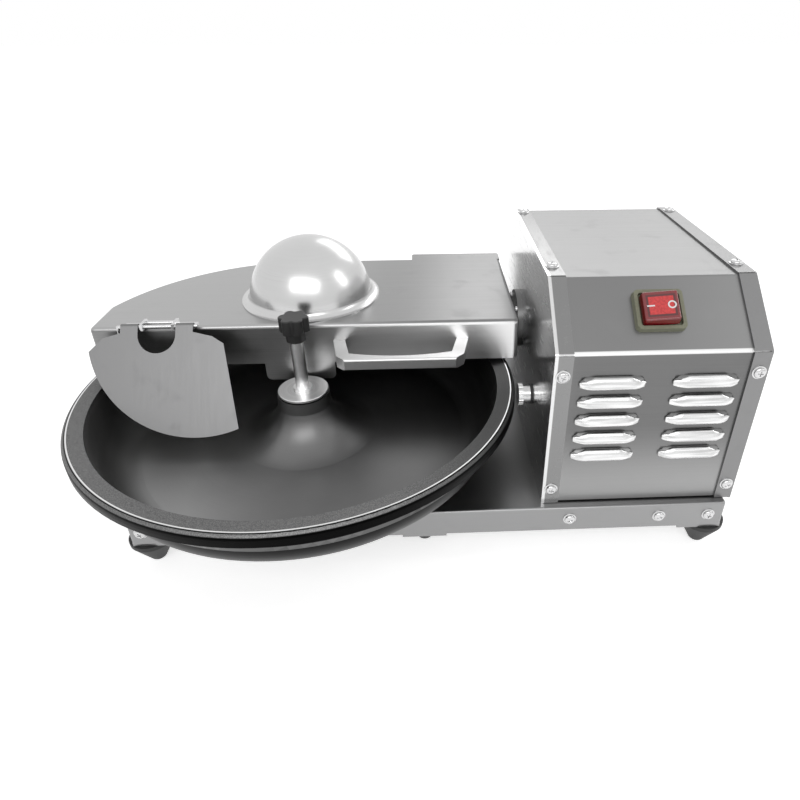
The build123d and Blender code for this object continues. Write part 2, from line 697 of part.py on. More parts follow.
# --- Bowl drive -----------------------------------------------------------------------------------------------------
wheel_z0 = worm_z - wheel_h / 2
turret_top = bowl_floor_z - bowl_wall - 10.0
case_bottom = base_bottom + 1.0
case_top = base_top - plate
case_y1 = worm_y + worm_pitch_r + tooth_module + case_wall


def worm_wheel():
    """Wheel with straight-sided teeth that mesh with the worm."""
    root_r = wheel_pitch_r - 1.25 * tooth_module
    tip_r = wheel_pitch_r + tooth_module
    wheel = rod_z(0, 0, wheel_z0, wheel_z0 + wheel_h, root_r)
    pitch = radians(360 / wheel_teeth)
    teeth = []
    for k in range(wheel_teeth):
        mid = pitch * (k + 0.25)
        root, tip = pitch * 0.29, pitch * 0.13
        corners = [((root_r - 0.5) * cos(mid - root), (root_r - 0.5) * sin(mid - root)),
                   (tip_r * cos(mid - tip), tip_r * sin(mid - tip)),
                   (tip_r * cos(mid + tip), tip_r * sin(mid + tip)),
                   ((root_r - 0.5) * cos(mid + root), (root_r - 0.5) * sin(mid + root))]
        teeth.append(prism_z(corners, wheel_z0, wheel_z0 + wheel_h))
    wheel = wheel.fuse(*teeth)
    wheel -= rod_z(0, 0, wheel_z0 - 1, wheel_z0 + wheel_h + 1, 10)
    for k in range(6):
        turn = radians(60 * k)
        wheel -= rod_z(19 * cos(turn), 19 * sin(turn), wheel_z0 - 1, wheel_z0 + wheel_h + 1, 4)
    return wheel


def gear_case():
    """Cast case under the pan, with a round well for the wheel and a tunnel for the worm."""
    body = block(-case_half, case_half, -case_half, case_y1, case_bottom + 2, case_top)
    body = fillet(body.edges().filter_by(Axis.Z), 8)
    well_r = wheel_pitch_r + tooth_module + 1.5
    body -= rod_z(0, 0, wheel_z0 - 1, case_top + 1, well_r)
    body -= rod_z(0, 0, case_bottom, wheel_z0, 15)
    body -= rod_x(-case_half + case_wall, case_half - case_wall, worm_y, worm_z, worm_pitch_r + tooth_module + 0.8)
    body -= rod_x(-case_half - 1, case_half + 1, worm_y, worm_z, worm_bearing_r)
    return body


def gear_case_lid():
    """Plate that closes the case from below."""
    lid = block(-case_half, case_half, -case_half, case_y1, case_bottom, case_bottom + 2)
    return fillet(lid.edges().filter_by(Axis.Z), 8)


def spindle_turret():
    """Cast turret on the pan that carries the spindle's upper bearing."""
    body = turned([(spindle_r + 2, case_top - 3), (spigot_r - 4, case_top - 3), (spigot_r - 4, case_top),
                   (spigot_r, case_top), (spigot_r, base_top), (turret_r, base_top), (turret_r, base_top + 6),
                   (turret_r - 8, turret_top - 1), (spindle_r + 1, turret_top - 1), (spindle_r + 1, turret_top - 3),
                   (knife_bearing_r, turret_top - 3), (knife_bearing_r, turret_top - 3 - knife_bearing_w),
                   (spindle_r + 2, turret_top - 3 - knife_bearing_w)])
    return body


def spindle_bearings():
    """Upper bearing in the turret, lower one in the case floor."""
    upper = Pos(0, 0, turret_top - 3 - knife_bearing_w / 2)
    upper = upper * bearing(knife_bearing_w, knife_bearing_r, spindle_r + run_gap)
    lower = Pos(0, 0, wheel_z0 - 1 - 3.5) * bearing(7, 15, 7 + run_gap)
    return Compound([upper, lower])


def worm_shaft():
    """Long shaft with a single-start worm at the wheel."""
    shaft = rod_x(-case_half, belt_b_x + pulley_w / 2, worm_y, worm_z, worm_shaft_r)
    root_r = worm_pitch_r - 1.25 * tooth_module - 0.1
    lead = tooth_module * 3.141592653589793
    core = rod_x(-worm_len / 2 - 3, worm_len / 2 + 3, worm_y, worm_z, root_r)
    tip_r = worm_pitch_r + tooth_module - 0.15
    turns = int(worm_len / lead)
    length = turns * lead
    path = Helix(pitch=lead, height=length, radius=root_r - 0.4)
    half_root, half_tip = lead * 0.24, lead * 0.09
    start = Plane(origin=path @ 0, x_dir=(1, 0, 0), z_dir=path % 0)
    rise = tip_r - root_r + 0.4
    tooth = start * Polyline((0, -half_root), (rise, -half_tip), (rise, half_tip), (0, half_root), close=True)
    thread = sweep(make_face(tooth), path=path, is_frenet=True)
    thread = Pos(-length / 2, worm_y, worm_z) * Rot(0, 90, 0) * thread
    return shaft + core + thread


def worm_bearings():
    """Two bearings in the case walls and one in the pillow block."""
    ends = (-case_half + 1, case_half - 1 - worm_bearing_w, pillow_x + 2)
    return Compound([bearing_x(x, worm_y, worm_z, worm_bearing_w, worm_bearing_r, worm_shaft_r + run_gap)
                     for x in ends])


pillow_x = belt_b_x - pulley_w / 2 - 16


def worm_pillow():
    """Bearing block that hangs from the pan beside the worm pulley."""
    body = block(pillow_x, pillow_x + 10, worm_y - 20, worm_y + 20, base_bottom + plate, case_top)
    body = fillet(body.edges().filter_by(Axis.X), 3)
    body -= rod_x(pillow_x - 1, pillow_x + 11, worm_y, worm_z, worm_shaft_r + 2)
    return body - rod_x(pillow_x + 2, pillow_x + 2 + worm_bearing_w, worm_y, worm_z, worm_bearing_r)


def worm_pulley():
    """Driven pulley of the bowl drive."""
    return pulley(belt_b_x, worm_y, worm_z, worm_pulley_r, worm_shaft_r)


# --- Knife head -----------------------------------------------------------------------------------------------------
stack = knife_count * knife_t + (knife_count - 1) * (knife_pitch - knife_t)
knife_x = [(k - (knife_count - 1) / 2) * knife_pitch for k in range(knife_count)]
spacer_end = 12.0
shaft_x0 = -stack / 2 - spacer_end - 22


def knife_shaft():
    """Shaft in one piece: threaded end, knife seat, journal and pulley end."""
    seat_end = stack / 2 + spacer_end
    parts = [rod_x(shaft_x0, -seat_end, knife_y, knife_z, 8),
             rod_x(-seat_end, housing_x - seal_t - 4, knife_y, knife_z, knife_shaft_r),
             rod_x(housing_x - seal_t - 4, barrel_x0 + barrel_len + 2, knife_y, knife_z, journal_r),
             rod_x(barrel_x0 + barrel_len + 2, belt_a_x + pulley_w / 2, knife_y, knife_z, 9)]
    shaft = parts[0].fuse(*parts[1:])
    collar = rod_x(seat_end, seat_end + 6, knife_y, knife_z, knife_bore_r)
    return shaft + collar


def knife_blade():
    """Sickle knife in its own plane: hub eye, hooked back and a long convex edge, ground on one side."""
    def around(share, turn):
        return knife_r * share * cos(radians(turn)), knife_r * share * sin(radians(turn))

    tip, edge_mid, heel = around(1, -62), around(0.93, -8), around(0.55, 66)
    neck = (-knife_bore_r - 2, knife_bore_r * 0.6)
    throat = (-2, -knife_bore_r - 2)
    cut = ThreePointArc(tip, edge_mid, heel)
    back = [ThreePointArc(heel, (8, 33), neck), Line(neck, throat), ThreePointArc(throat, around(0.42, -30), tip)]
    blade = make_face(Curve([cut] + back)) + Circle(knife_bore_r + 3) - Circle(knife_shaft_r)
    solid = extrude(blade, amount=knife_t / 2, both=True)
    middle, r, half = cut.arc_center, cut.radius, knife_t / 2
    ground = turned([(r - knife_bevel, half), (r + 1, half + 1), (r + 1, knife_land - half), (r, knife_land - half)])
    return solid - Pos(middle.X, middle.Y, 0) * ground


def knife_blades():
    """Sickle knives spread evenly round the shaft."""
    blades = []
    for k, x in enumerate(knife_x):
        turn = Rot(360 / knife_count * k, 0, 0)
        blades.append(Pos(x, knife_y, knife_z) * turn * Rot(0, 90, 0) * knife_blade())
    return Compound(blades)


def knife_spacers():
    """Round spacers between the knives and at both ends of the stack."""
    rings = []
    edges = [-stack / 2 - spacer_end] + [x + side * knife_t / 2 for x in knife_x for side in (-1, 1)]
    edges.append(stack / 2 + spacer_end)
    for x0, x1 in zip(edges[::2], edges[1::2]):
        rings.append(ring_x(x0, x1, knife_y, knife_z, knife_bore_r, knife_shaft_r))
    return Compound(rings)


def knife_nut():
    """End nut with a rounded nose."""
    seat = -stack / 2 - spacer_end
    nut = Pos(seat, knife_y, knife_z) * Rot(0, -90, 0) * extrude(RegularPolygon(16, 6), amount=14)
    nut += rod_x(seat - 4, seat, knife_y, knife_z, knife_bore_r)
    return nut - rod_x(shaft_x0 - 1, seat + 1, knife_y, knife_z, 8)


def knife_pulley():
    """Driven pulley of the knife shaft."""
    return pulley(belt_a_x, knife_y, knife_z, knife_pulley_r, 9)


def bearing_barrel():
    """Cast barrel on a pedestal that carries both knife bearings."""
    x1 = barrel_x0 + barrel_len
    body = rod_x(barrel_x0, x1, knife_y, knife_z, barrel_r)
    body += rod_x(housing_x + plate, barrel_x0 + 7, knife_y, knife_z, seal_r + 2)
    foot = block(barrel_x0 + 6, x1 - 6, knife_y - 20, knife_y + 44, base_top, base_top + 9)
    webs = block(barrel_x0 + 10, x1 - 10, knife_y + 4, knife_y + 14, base_top + 5, knife_z - 20)
    for x in (barrel_x0 + 10, barrel_x0 + barrel_len / 2 - 5, x1 - 20):
        webs += prism_x([(knife_y - 12, base_top + 5), (knife_y + 36, base_top + 5), (knife_y + 20, knife_z - 18),
                         (knife_y - 12, knife_z - 18)], x, x + 10)
    body += foot + webs
    body -= rod_x(barrel_x0 - 4, x1 + 1, knife_y, knife_z, knife_bearing_r - 4)
    for x in (barrel_x0 + 2, x1 - 2 - knife_bearing_w):
        body -= rod_x(x, x + knife_bearing_w, knife_y, knife_z, knife_bearing_r)
    for turn in (45, 135, 225, 315):
        y = knife_y + seal_screw_at * cos(radians(turn))
        z = knife_z + seal_screw_at * sin(radians(turn))
        body -= rod_x(housing_x + plate - 1, housing_x + plate + 3, y, z, 2.0)
    return body


def knife_bearings():
    """Two ball bearings in the barrel."""
    x1 = barrel_x0 + barrel_len
    return Compound([bearing_x(x, knife_y, knife_z, knife_bearing_w, knife_bearing_r, journal_r + run_gap)
                     for x in (barrel_x0 + 2, x1 - 2 - knife_bearing_w)])


def seal_flange():
    """Seal ring outside the side plate, round the knife shaft."""
    ring = ring_x(housing_x - seal_t, housing_x, knife_y, knife_z, seal_r, journal_r + run_gap)
    for turn in (45, 135, 225, 315):
        y = knife_y + seal_screw_at * cos(radians(turn))
        z = knife_z + seal_screw_at * sin(radians(turn))
        ring -= rod_x(housing_x - seal_t - 1, housing_x + 1, y, z, 2.0)
    return ring


def seal_screws():
    """Screws of the seal flange."""
    screws = []
    for turn in (45, 135, 225, 315):
        y = knife_y + seal_screw_at * cos(radians(turn))
        z = knife_z + seal_screw_at * sin(radians(turn))
        screw = rod_x(housing_x - seal_t, housing_x + plate + 2, y, z, 2.0)
        screws.append(screw + rod_x(housing_x - seal_t - 2.2, housing_x - seal_t, y, z, 3.6))
    return Compound(screws)


# --- Motor ----------------------------------------------------------------------------------------------------------
shell_x1 = shell_x0 + shell_len


def motor_shell():
    """Finned shell with a foot on each side."""
    body = rod_x(shell_x0, shell_x1, motor_y, motor_z, motor_r)
    fins = []
    for k in range(fin_count):
        turn = 360 / fin_count * (k + 0.5)
        fin = Box(shell_len - 8, 2.2, fin_h + 3)
        fins.append(Pos((shell_x0 + shell_x1) / 2, motor_y, motor_z) * Rot(turn, 0, 0)
                    * Pos(0, 0, motor_r + fin_h / 2 - 1.5) * fin)
    body = body.fuse(*fins)
    foot_z = motor_z - motor_r - fin_h
    cradle = block(shell_x0 + 10, shell_x1 - 10, motor_y - 44, motor_y + 44, base_top, motor_z - 34)
    cradle -= block(shell_x0 + 22, shell_x1 - 22, motor_y - 60, motor_y + 60, base_top + 8, foot_z + 3)
    body += cradle
    body += block(shell_x0 + 10, shell_x1 - 10, motor_y - 62, motor_y + 58, base_top, base_top + 7)
    body -= rod_x(shell_x0 - 1, shell_x1 + 1, motor_y, motor_z, stator_out_r)
    for x in (shell_x0 + 20, shell_x1 - 20):
        for y in (motor_y - 54, motor_y + 51):
            body -= rod_z(x, y, base_top - 1, base_top + 8, bolt_r)
    return body


def motor_bolts():
    """Bolts that hold the motor to the pan."""
    bolts = []
    for x in (shell_x0 + 20, shell_x1 - 20):
        for y in (motor_y - 54, motor_y + 51):
            bolts.append(Pos(x, y, base_top + 7) * hex_bolt(7, bolt_r))
    return Compound(bolts)


def stator():
    """Laminated stator with the winding heads at both ends."""
    core = ring_x(shell_x0 + 10, shell_x1 - 10, motor_y, motor_z, stator_out_r, stator_in_r)
    for x0, x1 in ((shell_x0 + 2, shell_x0 + 10), (shell_x1 - 10, shell_x1 - 2)):
        core += ring_x(x0, x1, motor_y, motor_z, stator_out_r - 5, stator_in_r + 3)
    return core


def end_shield(x_joint, outward):
    """Turned shield with a bearing seat; x_joint is where it meets the shell."""
    x1 = x_joint + outward * shield_w
    lo, hi = min(x_joint, x1), max(x_joint, x1)
    body = rod_x(lo, hi, motor_y, motor_z, motor_r + 2)
    hollow = (x_joint, x_joint + outward * (shield_w - 4))
    body -= ring_x(min(hollow), max(hollow), motor_y, motor_z, stator_out_r - 2, motor_bearing_r + 4)
    seat = (x_joint - 1 * outward, x_joint + outward * bearing_w)
    body -= rod_x(min(seat), max(seat), motor_y, motor_z, motor_bearing_r)
    return body - rod_x(lo - 1, hi + 1, motor_y, motor_z, motor_shaft_r + 1)


def motor_bearings():
    """Bearings in the two shields."""
    return Compound([bearing_x(x, motor_y, motor_z, bearing_w, motor_bearing_r, motor_shaft_r + run_gap)
                     for x in (shell_x0 - bearing_w, shell_x1)])


cowl_x0 = shell_x0 - shield_w - cowl_len + 6


def fan_cowl():
    """Pressed cowl over the fan, with a grille of slots in its end."""
    outer = rod_x(cowl_x0, shell_x0 - shield_w + 6, motor_y, motor_z, motor_r + 3.5)
    outer = fillet(outer.edges().group_by(Axis.X)[0], 3)
    outer -= rod_x(cowl_x0 + sheet, shell_x0, motor_y, motor_z, motor_r + 2)
    for k in range(5):
        y = motor_y + (k - 2) * 15
        half = sqrt(46 ** 2 - (y - motor_y) ** 2) - 6
        outer -= block(cowl_x0 - 1, cowl_x0 + sheet + 1, y - 4, y + 4, motor_z - half, motor_z + half)
    return outer


def rotor_shaft():
    """Motor shaft with the rotor core."""
    shaft = rod_x(cowl_x0 + 8, belt_b_x + pulley_w / 2, motor_y, motor_z, motor_shaft_r)
    return shaft + rod_x(shell_x0 + 10, shell_x1 - 10, motor_y, motor_z, rotor_r)


def motor_fan():
    """Radial fan with straight vanes."""
    x0, x1 = cowl_x0 + 8, shell_x0 - shield_w - 3
    fan = ring_x(x1 - 2, x1, motor_y, motor_z, fan_r, motor_shaft_r)
    fan += ring_x(x0, x1, motor_y, motor_z, motor_shaft_r + 6, motor_shaft_r)
    vanes = []
    for k in range(8):
        vane = Pos(0, 0, (fan_r + motor_shaft_r + 3) / 2) * Box(x1 - x0 - 1, 2, fan_r - motor_shaft_r - 3)
        vanes.append(Pos((x0 + x1 + 1) / 2, motor_y, motor_z) * Rot(45 * k, 0, 0) * vane)
    return fan.fuse(*vanes)


def motor_pulley():
    """Two-groove pulley: the large groove drives the knives, the small one the worm."""
    wide = pulley(belt_a_x, motor_y, motor_z, motor_pulley_r, motor_shaft_r)
    small = pulley(belt_b_x, motor_y, motor_z, motor_small_r, motor_shaft_r)
    bridge = ring_x(belt_a_x + pulley_w / 2 - 0.5, belt_b_x - pulley_w / 2 + 0.5, motor_y, motor_z,
                    motor_small_r, motor_shaft_r)
    return wide + small + bridge


def knife_belt():
    """Belt from motor to knife shaft."""
    return belt(belt_a_x, motor_y, motor_z, motor_pulley_r, knife_y, knife_z, knife_pulley_r)


def worm_belt():
    """Belt from motor down to the worm shaft."""
    return belt(belt_b_x, motor_y, motor_z, motor_small_r, worm_y, worm_z, worm_pulley_r)


# --- Cover ----------------------------------------------------------------------------------------------------------
def cover_face(inset=0.0):
    """Outline of the cover from above: straight front, round back, moved inwards by inset."""
    r = cover_arc_r - inset
    left, right, front = cover_left + inset, cover_right - inset, cover_front + inset
    back = cover_arc_y + r
    left_y = cover_arc_y + sqrt(r ** 2 - (left - cover_arc_x) ** 2)
    lean = radians(135)
    mid = (cover_arc_x + r * cos(lean), cover_arc_y + r * sin(lean))
    edges = [Line((left, front), (left, left_y)), ThreePointArc((left, left_y), mid, (cover_arc_x, back)),
             Line((cover_arc_x, back), (right, back)), Line((right, back), (right, front)),
             Line((right, front), (left, front))]
    return make_face(Curve(edges))


def cover_shell():
    """Pressed cover: top, skirt all round, centre tab, shaft notch, dome hole and rear leaf."""
    outer = Pos(0, 0, cover_bottom) * extrude(cover_face(), amount=cover_skirt)
    outer = fillet(outer.edges().filter_by(Axis.Z).group_by(Axis.Y)[0], 6)
    outer = fillet(outer.faces().sort_by(Axis.Z)[-1].edges(), cover_edge_r)
    inner = Pos(0, 0, cover_bottom - 1) * extrude(cover_face(sheet), amount=cover_skirt - sheet + 1)
    inner = fillet(inner.edges().filter_by(Axis.Z).group_by(Axis.Y)[0], 6 - sheet)
    inner = fillet(inner.faces().sort_by(Axis.Z)[-1].edges(), cover_edge_r - sheet)
    shell = outer - inner
    tab = Plane.XZ * (Pos((tab_x0 + tab_x1) / 2, cover_bottom - tab_drop / 2 + 4)
                      * Rectangle(tab_x1 - tab_x0, tab_drop + 8))
    tab = fillet(tab.vertices().group_by(Axis.Z)[0], 6)
    shell += Pos(0, cover_front + sheet, 0) * extrude(tab, amount=sheet)
    leaf = block(leaf_x0, cover_right, cover_arc_y + cover_arc_r - cover_edge_r - 1, leaf_back,
                 cover_top - sheet, cover_top)
    shell += fillet(leaf.edges().filter_by(Axis.Z).group_by(Axis.Y)[-1], 3)
    side = Plane(origin=(cover_right, knife_y, cover_bottom), x_dir=(0, 1, 0), z_dir=(1, 0, 0))
    notch = side * RectangleRounded(34, 56, 14)
    shell -= extrude(notch, amount=12, both=True)
    shell -= rod_z(0, knife_y, cover_top - sheet - 1, cover_top + 1, dome_r - sheet)
    return shell


def dome():
    """Spun dome over the knife circle with a flared foot ring."""
    z0 = cover_top
    neck = 8.0
    neck_r = sqrt(dome_r ** 2 - neck ** 2)
    inner_r = dome_r - sheet
    inner_neck = sqrt(inner_r ** 2 - neck ** 2)
    side = radians(50)
    edges = [
        ThreePointArc((0, z0 + dome_r), (dome_r * cos(side), z0 + dome_r * sin(side)), (neck_r, z0 + neck)),
        ThreePointArc((neck_r, z0 + neck), (neck_r + 2.6, z0 + 3.6), (dome_foot_r, z0 + sheet)),
        Line((dome_foot_r, z0 + sheet), (dome_foot_r, z0)),
        Line((dome_foot_r, z0), (inner_neck, z0)),
        Line((inner_neck, z0), (inner_neck, z0 + neck)),
        ThreePointArc((inner_neck, z0 + neck), (inner_r * cos(side), z0 + inner_r * sin(side)), (0, z0 + inner_r)),
        Line((0, z0 + inner_r), (0, z0 + dome_r)),
    ]
    return Pos(0, knife_y, 0) * revolve(make_face(Plane.XZ * Curve(edges)), Axis.Z)


def cover_handle():
    """Flat bar handle in front of the skirt, with splayed legs and a bowed inner edge."""
    y0, y1 = cover_front, cover_front - handle_out
    splay, corner = 7.0, 9.0
    outer = Polyline((handle_x0, y0), (handle_x0 + splay, y1 + corner), (handle_x0 + splay + corner, y1),
                     (handle_x1 - splay - corner, y1), (handle_x1 - splay, y1 + corner), (handle_x1, y0), close=True)
    bar = make_face(outer)
    x0, x1 = handle_x0 + handle_bar + 3, handle_x1 - handle_bar - 3
    inner_y = y1 + handle_bar
    mid_x = (x0 + x1) / 2
    inner = [Line((x0, y0 + 1), (x0 + splay, inner_y + 5)),
             ThreePointArc((x0 + splay, inner_y + 5), (mid_x, inner_y - 2), (x1 - splay, inner_y + 5)),
             Line((x1 - splay, inner_y + 5), (x1, y0 + 1)), Line((x1, y0 + 1), (x0, y0 + 1))]
    bar -= make_face(Curve(inner))
    z1 = cover_top - handle_top_drop
    solid = Pos(0, 0, z1 - handle_h) * extrude(bar, amount=handle_h)
    front = solid.edges().filter_by(Axis.X).group_by(Axis.Y)[0]
    return fillet(front, 2.5)


barrel_hinge_x = (post_x0 + post_cheek + 2, post_x1 - post_cheek - 2)


def hinge_leaf():
    """Strip under the rear leaf, rolled round the hinge pin."""
    x0, x1 = barrel_hinge_x
    strip = block(x0, x1, hinge_y - 12, hinge_y, cover_top - sheet - 2, cover_top - sheet)
    strip += block(x0, x1, hinge_y - hinge_knuckle_r, hinge_y, hinge_z, cover_top - sheet)
    strip += rod_x(x0, x1, hinge_y, hinge_z, hinge_knuckle_r)
    return strip - rod_x(x0 - 1, x1 + 1, hinge_y, hinge_z, hinge_pin_r + run_gap)


def hinge_post():
    """Folded steel post behind the bowl with two cheeks for the pin."""
    web_back = post_web_y + post_sheet
    web_top = hinge_z - post_drop
    cheek_front = hinge_y - post_head_r
    post = block(post_x0, post_x1, post_web_y, web_back, base_top, web_top)
    post += block(post_x0, post_x1, hinge_y, web_back, base_top, base_top + post_sheet)
    for x0 in (post_x0, post_x1 - post_cheek):
        cheek = block(x0, x0 + post_cheek, cheek_front, web_back, base_top, web_top)
        cheek += prism_x([(cheek_front, web_top - 1), (web_back, web_top - 1), (web_back, web_top),
                          (hinge_y + post_neck, hinge_z - post_neck), (cheek_front, hinge_z)], x0, x0 + post_cheek)
        cheek += rod_x(x0, x0 + post_cheek, hinge_y, hinge_z, post_head_r)
        post += cheek
    return post - rod_x(post_x0 - 1, post_x1 + 1, hinge_y, hinge_z, hinge_pin_r)


def hinge_pin():
    """Pin through both cheeks and the rolled leaf."""
    pin = rod_x(post_x0 - 3, post_x1 + 3, hinge_y, hinge_z, hinge_pin_r)
    return chamfer(pin.edges(), 0.8)


# --- Flap -----------------------------------------------------------------------------------------------------------
flap_tabs = (flap_notch_x - flap_notch_r - flap_tab_w / 2, flap_notch_x + flap_notch_r + flap_tab_w / 2)
flap_knuckle_r = flap_pin_r + sheet


def flap():
    """Swinging plate: round lower edge, straight right edge, U-shaped notch and two rolled tabs."""
    ear_x = flap_arc_x - sqrt(flap_arc_r ** 2 - (flap_ear_s + 14 - flap_arc_s) ** 2)
    corner_s = flap_arc_s + sqrt(flap_arc_r ** 2 - (flap_corner_x - flap_arc_x) ** 2)
    left_tab, right_tab = flap_tabs
    half = flap_tab_w / 2
    start = (ear_x, -(flap_ear_s + 14))
    low = (flap_arc_x - flap_arc_r * cos(radians(60)), -(flap_arc_s + flap_arc_r * sin(radians(60))))
    corner = (flap_corner_x, -corner_s)
    root = -flap_knuckle_r
    notch_s = flap_notch_r - 10
    edges = [
        ThreePointArc(start, low, corner),
        Line(corner, (flap_shoulder_x, -flap_shoulder_s)),
        Line((flap_shoulder_x, -flap_shoulder_s), (flap_shoulder_x - 12, -flap_ear_s)),
        Line((flap_shoulder_x - 12, -flap_ear_s), (right_tab + half, -7)),
        Line((right_tab + half, -7), (right_tab + half, root)),
        Line((right_tab + half, root), (right_tab - half, root)),
        Line((right_tab - half, root), (right_tab - half, -notch_s)),
        ThreePointArc((right_tab - half, -notch_s), (flap_notch_x, -notch_s - flap_notch_r),
                      (left_tab + half, -notch_s)),
        Line((left_tab + half, -notch_s), (left_tab + half, root)),
        Line((left_tab + half, root), (left_tab - half, root)),
        Line((left_tab - half, root), (left_tab - half, -7)),
        Line((left_tab - half, -7), (ear_x + 14, -flap_ear_s)),
        Line((ear_x + 14, -flap_ear_s), start),
    ]
    sheet_plate = extrude(make_face(Curve(edges)), amount=sheet)
    down_turn = Pos(0, flap_pin_y, flap_pin_z) * Rot(90 - flap_tilt, 0, 0)
    body = down_turn * Pos(0, 0, flap_pin_r) * sheet_plate
    for x in flap_tabs:
        x0, x1 = x - half, x + half
        body += rod_x(x0, x1, flap_pin_y, flap_pin_z, flap_knuckle_r)
        body += down_turn * Pos(x, -flap_knuckle_r / 2 - 1, flap_pin_r + sheet / 2) * Box(flap_tab_w, 5, sheet)
    body -= rod_x(flap_tabs[0] - 20, flap_tabs[1] + 20, flap_pin_y, flap_pin_z, flap_pin_r + run_gap)
    return body


def flap_wire():
    """Hinge wire through the flap's tabs, with a bent-down end."""
    x0 = flap_tabs[0] - flap_tab_w / 2 - 4
    x1 = flap_tabs[1] + flap_tab_w / 2 + 4
    wire = rod_x(x0, x1, flap_pin_y, flap_pin_z, flap_pin_r)
    wire += rod_z(x0, flap_pin_y, flap_pin_z - 20, flap_pin_z, flap_pin_r)
    return wire + Pos(x0, flap_pin_y, flap_pin_z) * Sphere(flap_pin_r)


def flap_bracket():
    """Bracket on the cover: two ears that hold the wire, a rear bar, and a clamping tongue behind each tab."""
    inner = flap_notch_r - 3
    ear_y0, ear_y1 = flap_pin_y - flap_ear_half, flap_pin_y + 13
    ear_top = flap_pin_z + flap_ear_half
    body = rod_x(flap_notch_x - inner, flap_notch_x + inner, ear_y1 - 2.5, cover_top + 2.5, 2.5)
    for side in (-1, 1):
        x0 = flap_notch_x + side * inner - sheet
        x1 = x0 + 2 * sheet
        body += block(x0, x1, ear_y0, ear_y1, cover_top, ear_top)
        body += block(x0, x1, ear_y0, cover_front - side_gap, flap_pin_z - flap_ear_half, ear_top)
    for x in flap_tabs:
        outer = side_gap + flap_tab_w / 2
        near = -1 if x > flap_notch_x else 1
        reach = sorted((x - near * outer, flap_notch_x - near * (inner - sheet)))
        body += block(*reach, flap_pin_y + flap_knuckle_r + side_gap, cover_front + flap_fold,
                      cover_top, cover_top + sheet)
    return body - rod_x(flap_notch_x - 30, flap_notch_x + 30, flap_pin_y, flap_pin_z, flap_pin_r)


# --- Fitting, gland, capacitor ----------------------------------------------------------------------------------------
def side_fitting():
    """Round bright fitting on the left side plate with a fluted flange at its free end."""
    x0 = housing_x - fitting_len
    body = rod_x(x0 + 3, housing_x - 2, fitting_y, fitting_z, fitting_r - 2)
    body += rod_x(x0, x0 + 5, fitting_y, fitting_z, fitting_r)
    for k in range(16):
        turn = radians(360 / 16 * k)
        body -= rod_x(x0 - 1, x0 + 5.5, fitting_y + (fitting_r + 1) * cos(turn), fitting_z + (fitting_r + 1) * sin(turn),
                      1.8)
    body += rod_x(housing_x - 2, housing_x + plate + 5, fitting_y, fitting_z, bolt_r)
    nut = Pos(housing_x + plate, fitting_y, fitting_z) * Rot(0, 90, 0) * extrude(RegularPolygon(6, 6), amount=4)
    nut -= rod_x(housing_x, housing_x + 20, fitting_y, fitting_z, bolt_r)
    return Compound([body, nut])


def fitting_washer():
    """Rubber washer between the fitting and the plate."""
    return ring_x(housing_x - 2, housing_x, fitting_y, fitting_z, fitting_r - 1, bolt_r)


def cord_gland():
    """Cord gland through the rear of the housing, with its lock nut inside."""
    skin = housing_back - plate
    place = Pos(gland_x, 0, gland_z) * Rot(-90, 0, 0)
    body = place * Pos(0, 0, skin) * extrude(RegularPolygon(13, 6), amount=6)
    body += place * Pos(0, 0, skin + 6) * extrude(Circle(11), amount=plate + gland_out - 6, taper=5)
    body += place * Pos(0, 0, skin - 14) * extrude(Circle(8), amount=14)
    body += place * Pos(0, 0, skin - sheet - 5) * extrude(RegularPolygon(13, 6), amount=5)
    return body - place * Pos(0, 0, skin - 20) * extrude(Circle(gland_bore_r), amount=60)


capacitor_y = 205.0
capacitor_x = 306.0


def capacitor():
    """Run capacitor lying on the base, with two terminals."""
    z = base_top + capacitor_r + 2
    can = rod_x(capacitor_x, capacitor_x + capacitor_len, capacitor_y, z, capacitor_r)
    can = fillet(can.edges(), 2)
    for side in (-1, 1):
        can += block(capacitor_x + capacitor_len - 1, capacitor_x + capacitor_len + 8, capacitor_y + side * 8 - 3,
                     capacitor_y + side * 8 + 3, z - 0.4, z + 0.4)
    return can


def capacitor_clamp():
    """Strap over the capacitor with its two feet on the base."""
    z = base_top + capacitor_r + 2
    x0 = capacitor_x + capacitor_len / 2 - 8
    strap = ring_x(x0, x0 + 16, capacitor_y, z, capacitor_r + 2, capacitor_r)
    feet = block(x0, x0 + 16, capacitor_y - capacitor_r - 16, capacitor_y + capacitor_r + 16, base_top, base_top + 2)
    return strap + feet - rod_x(x0 - 1, x0 + 17, capacitor_y, z, capacitor_r)


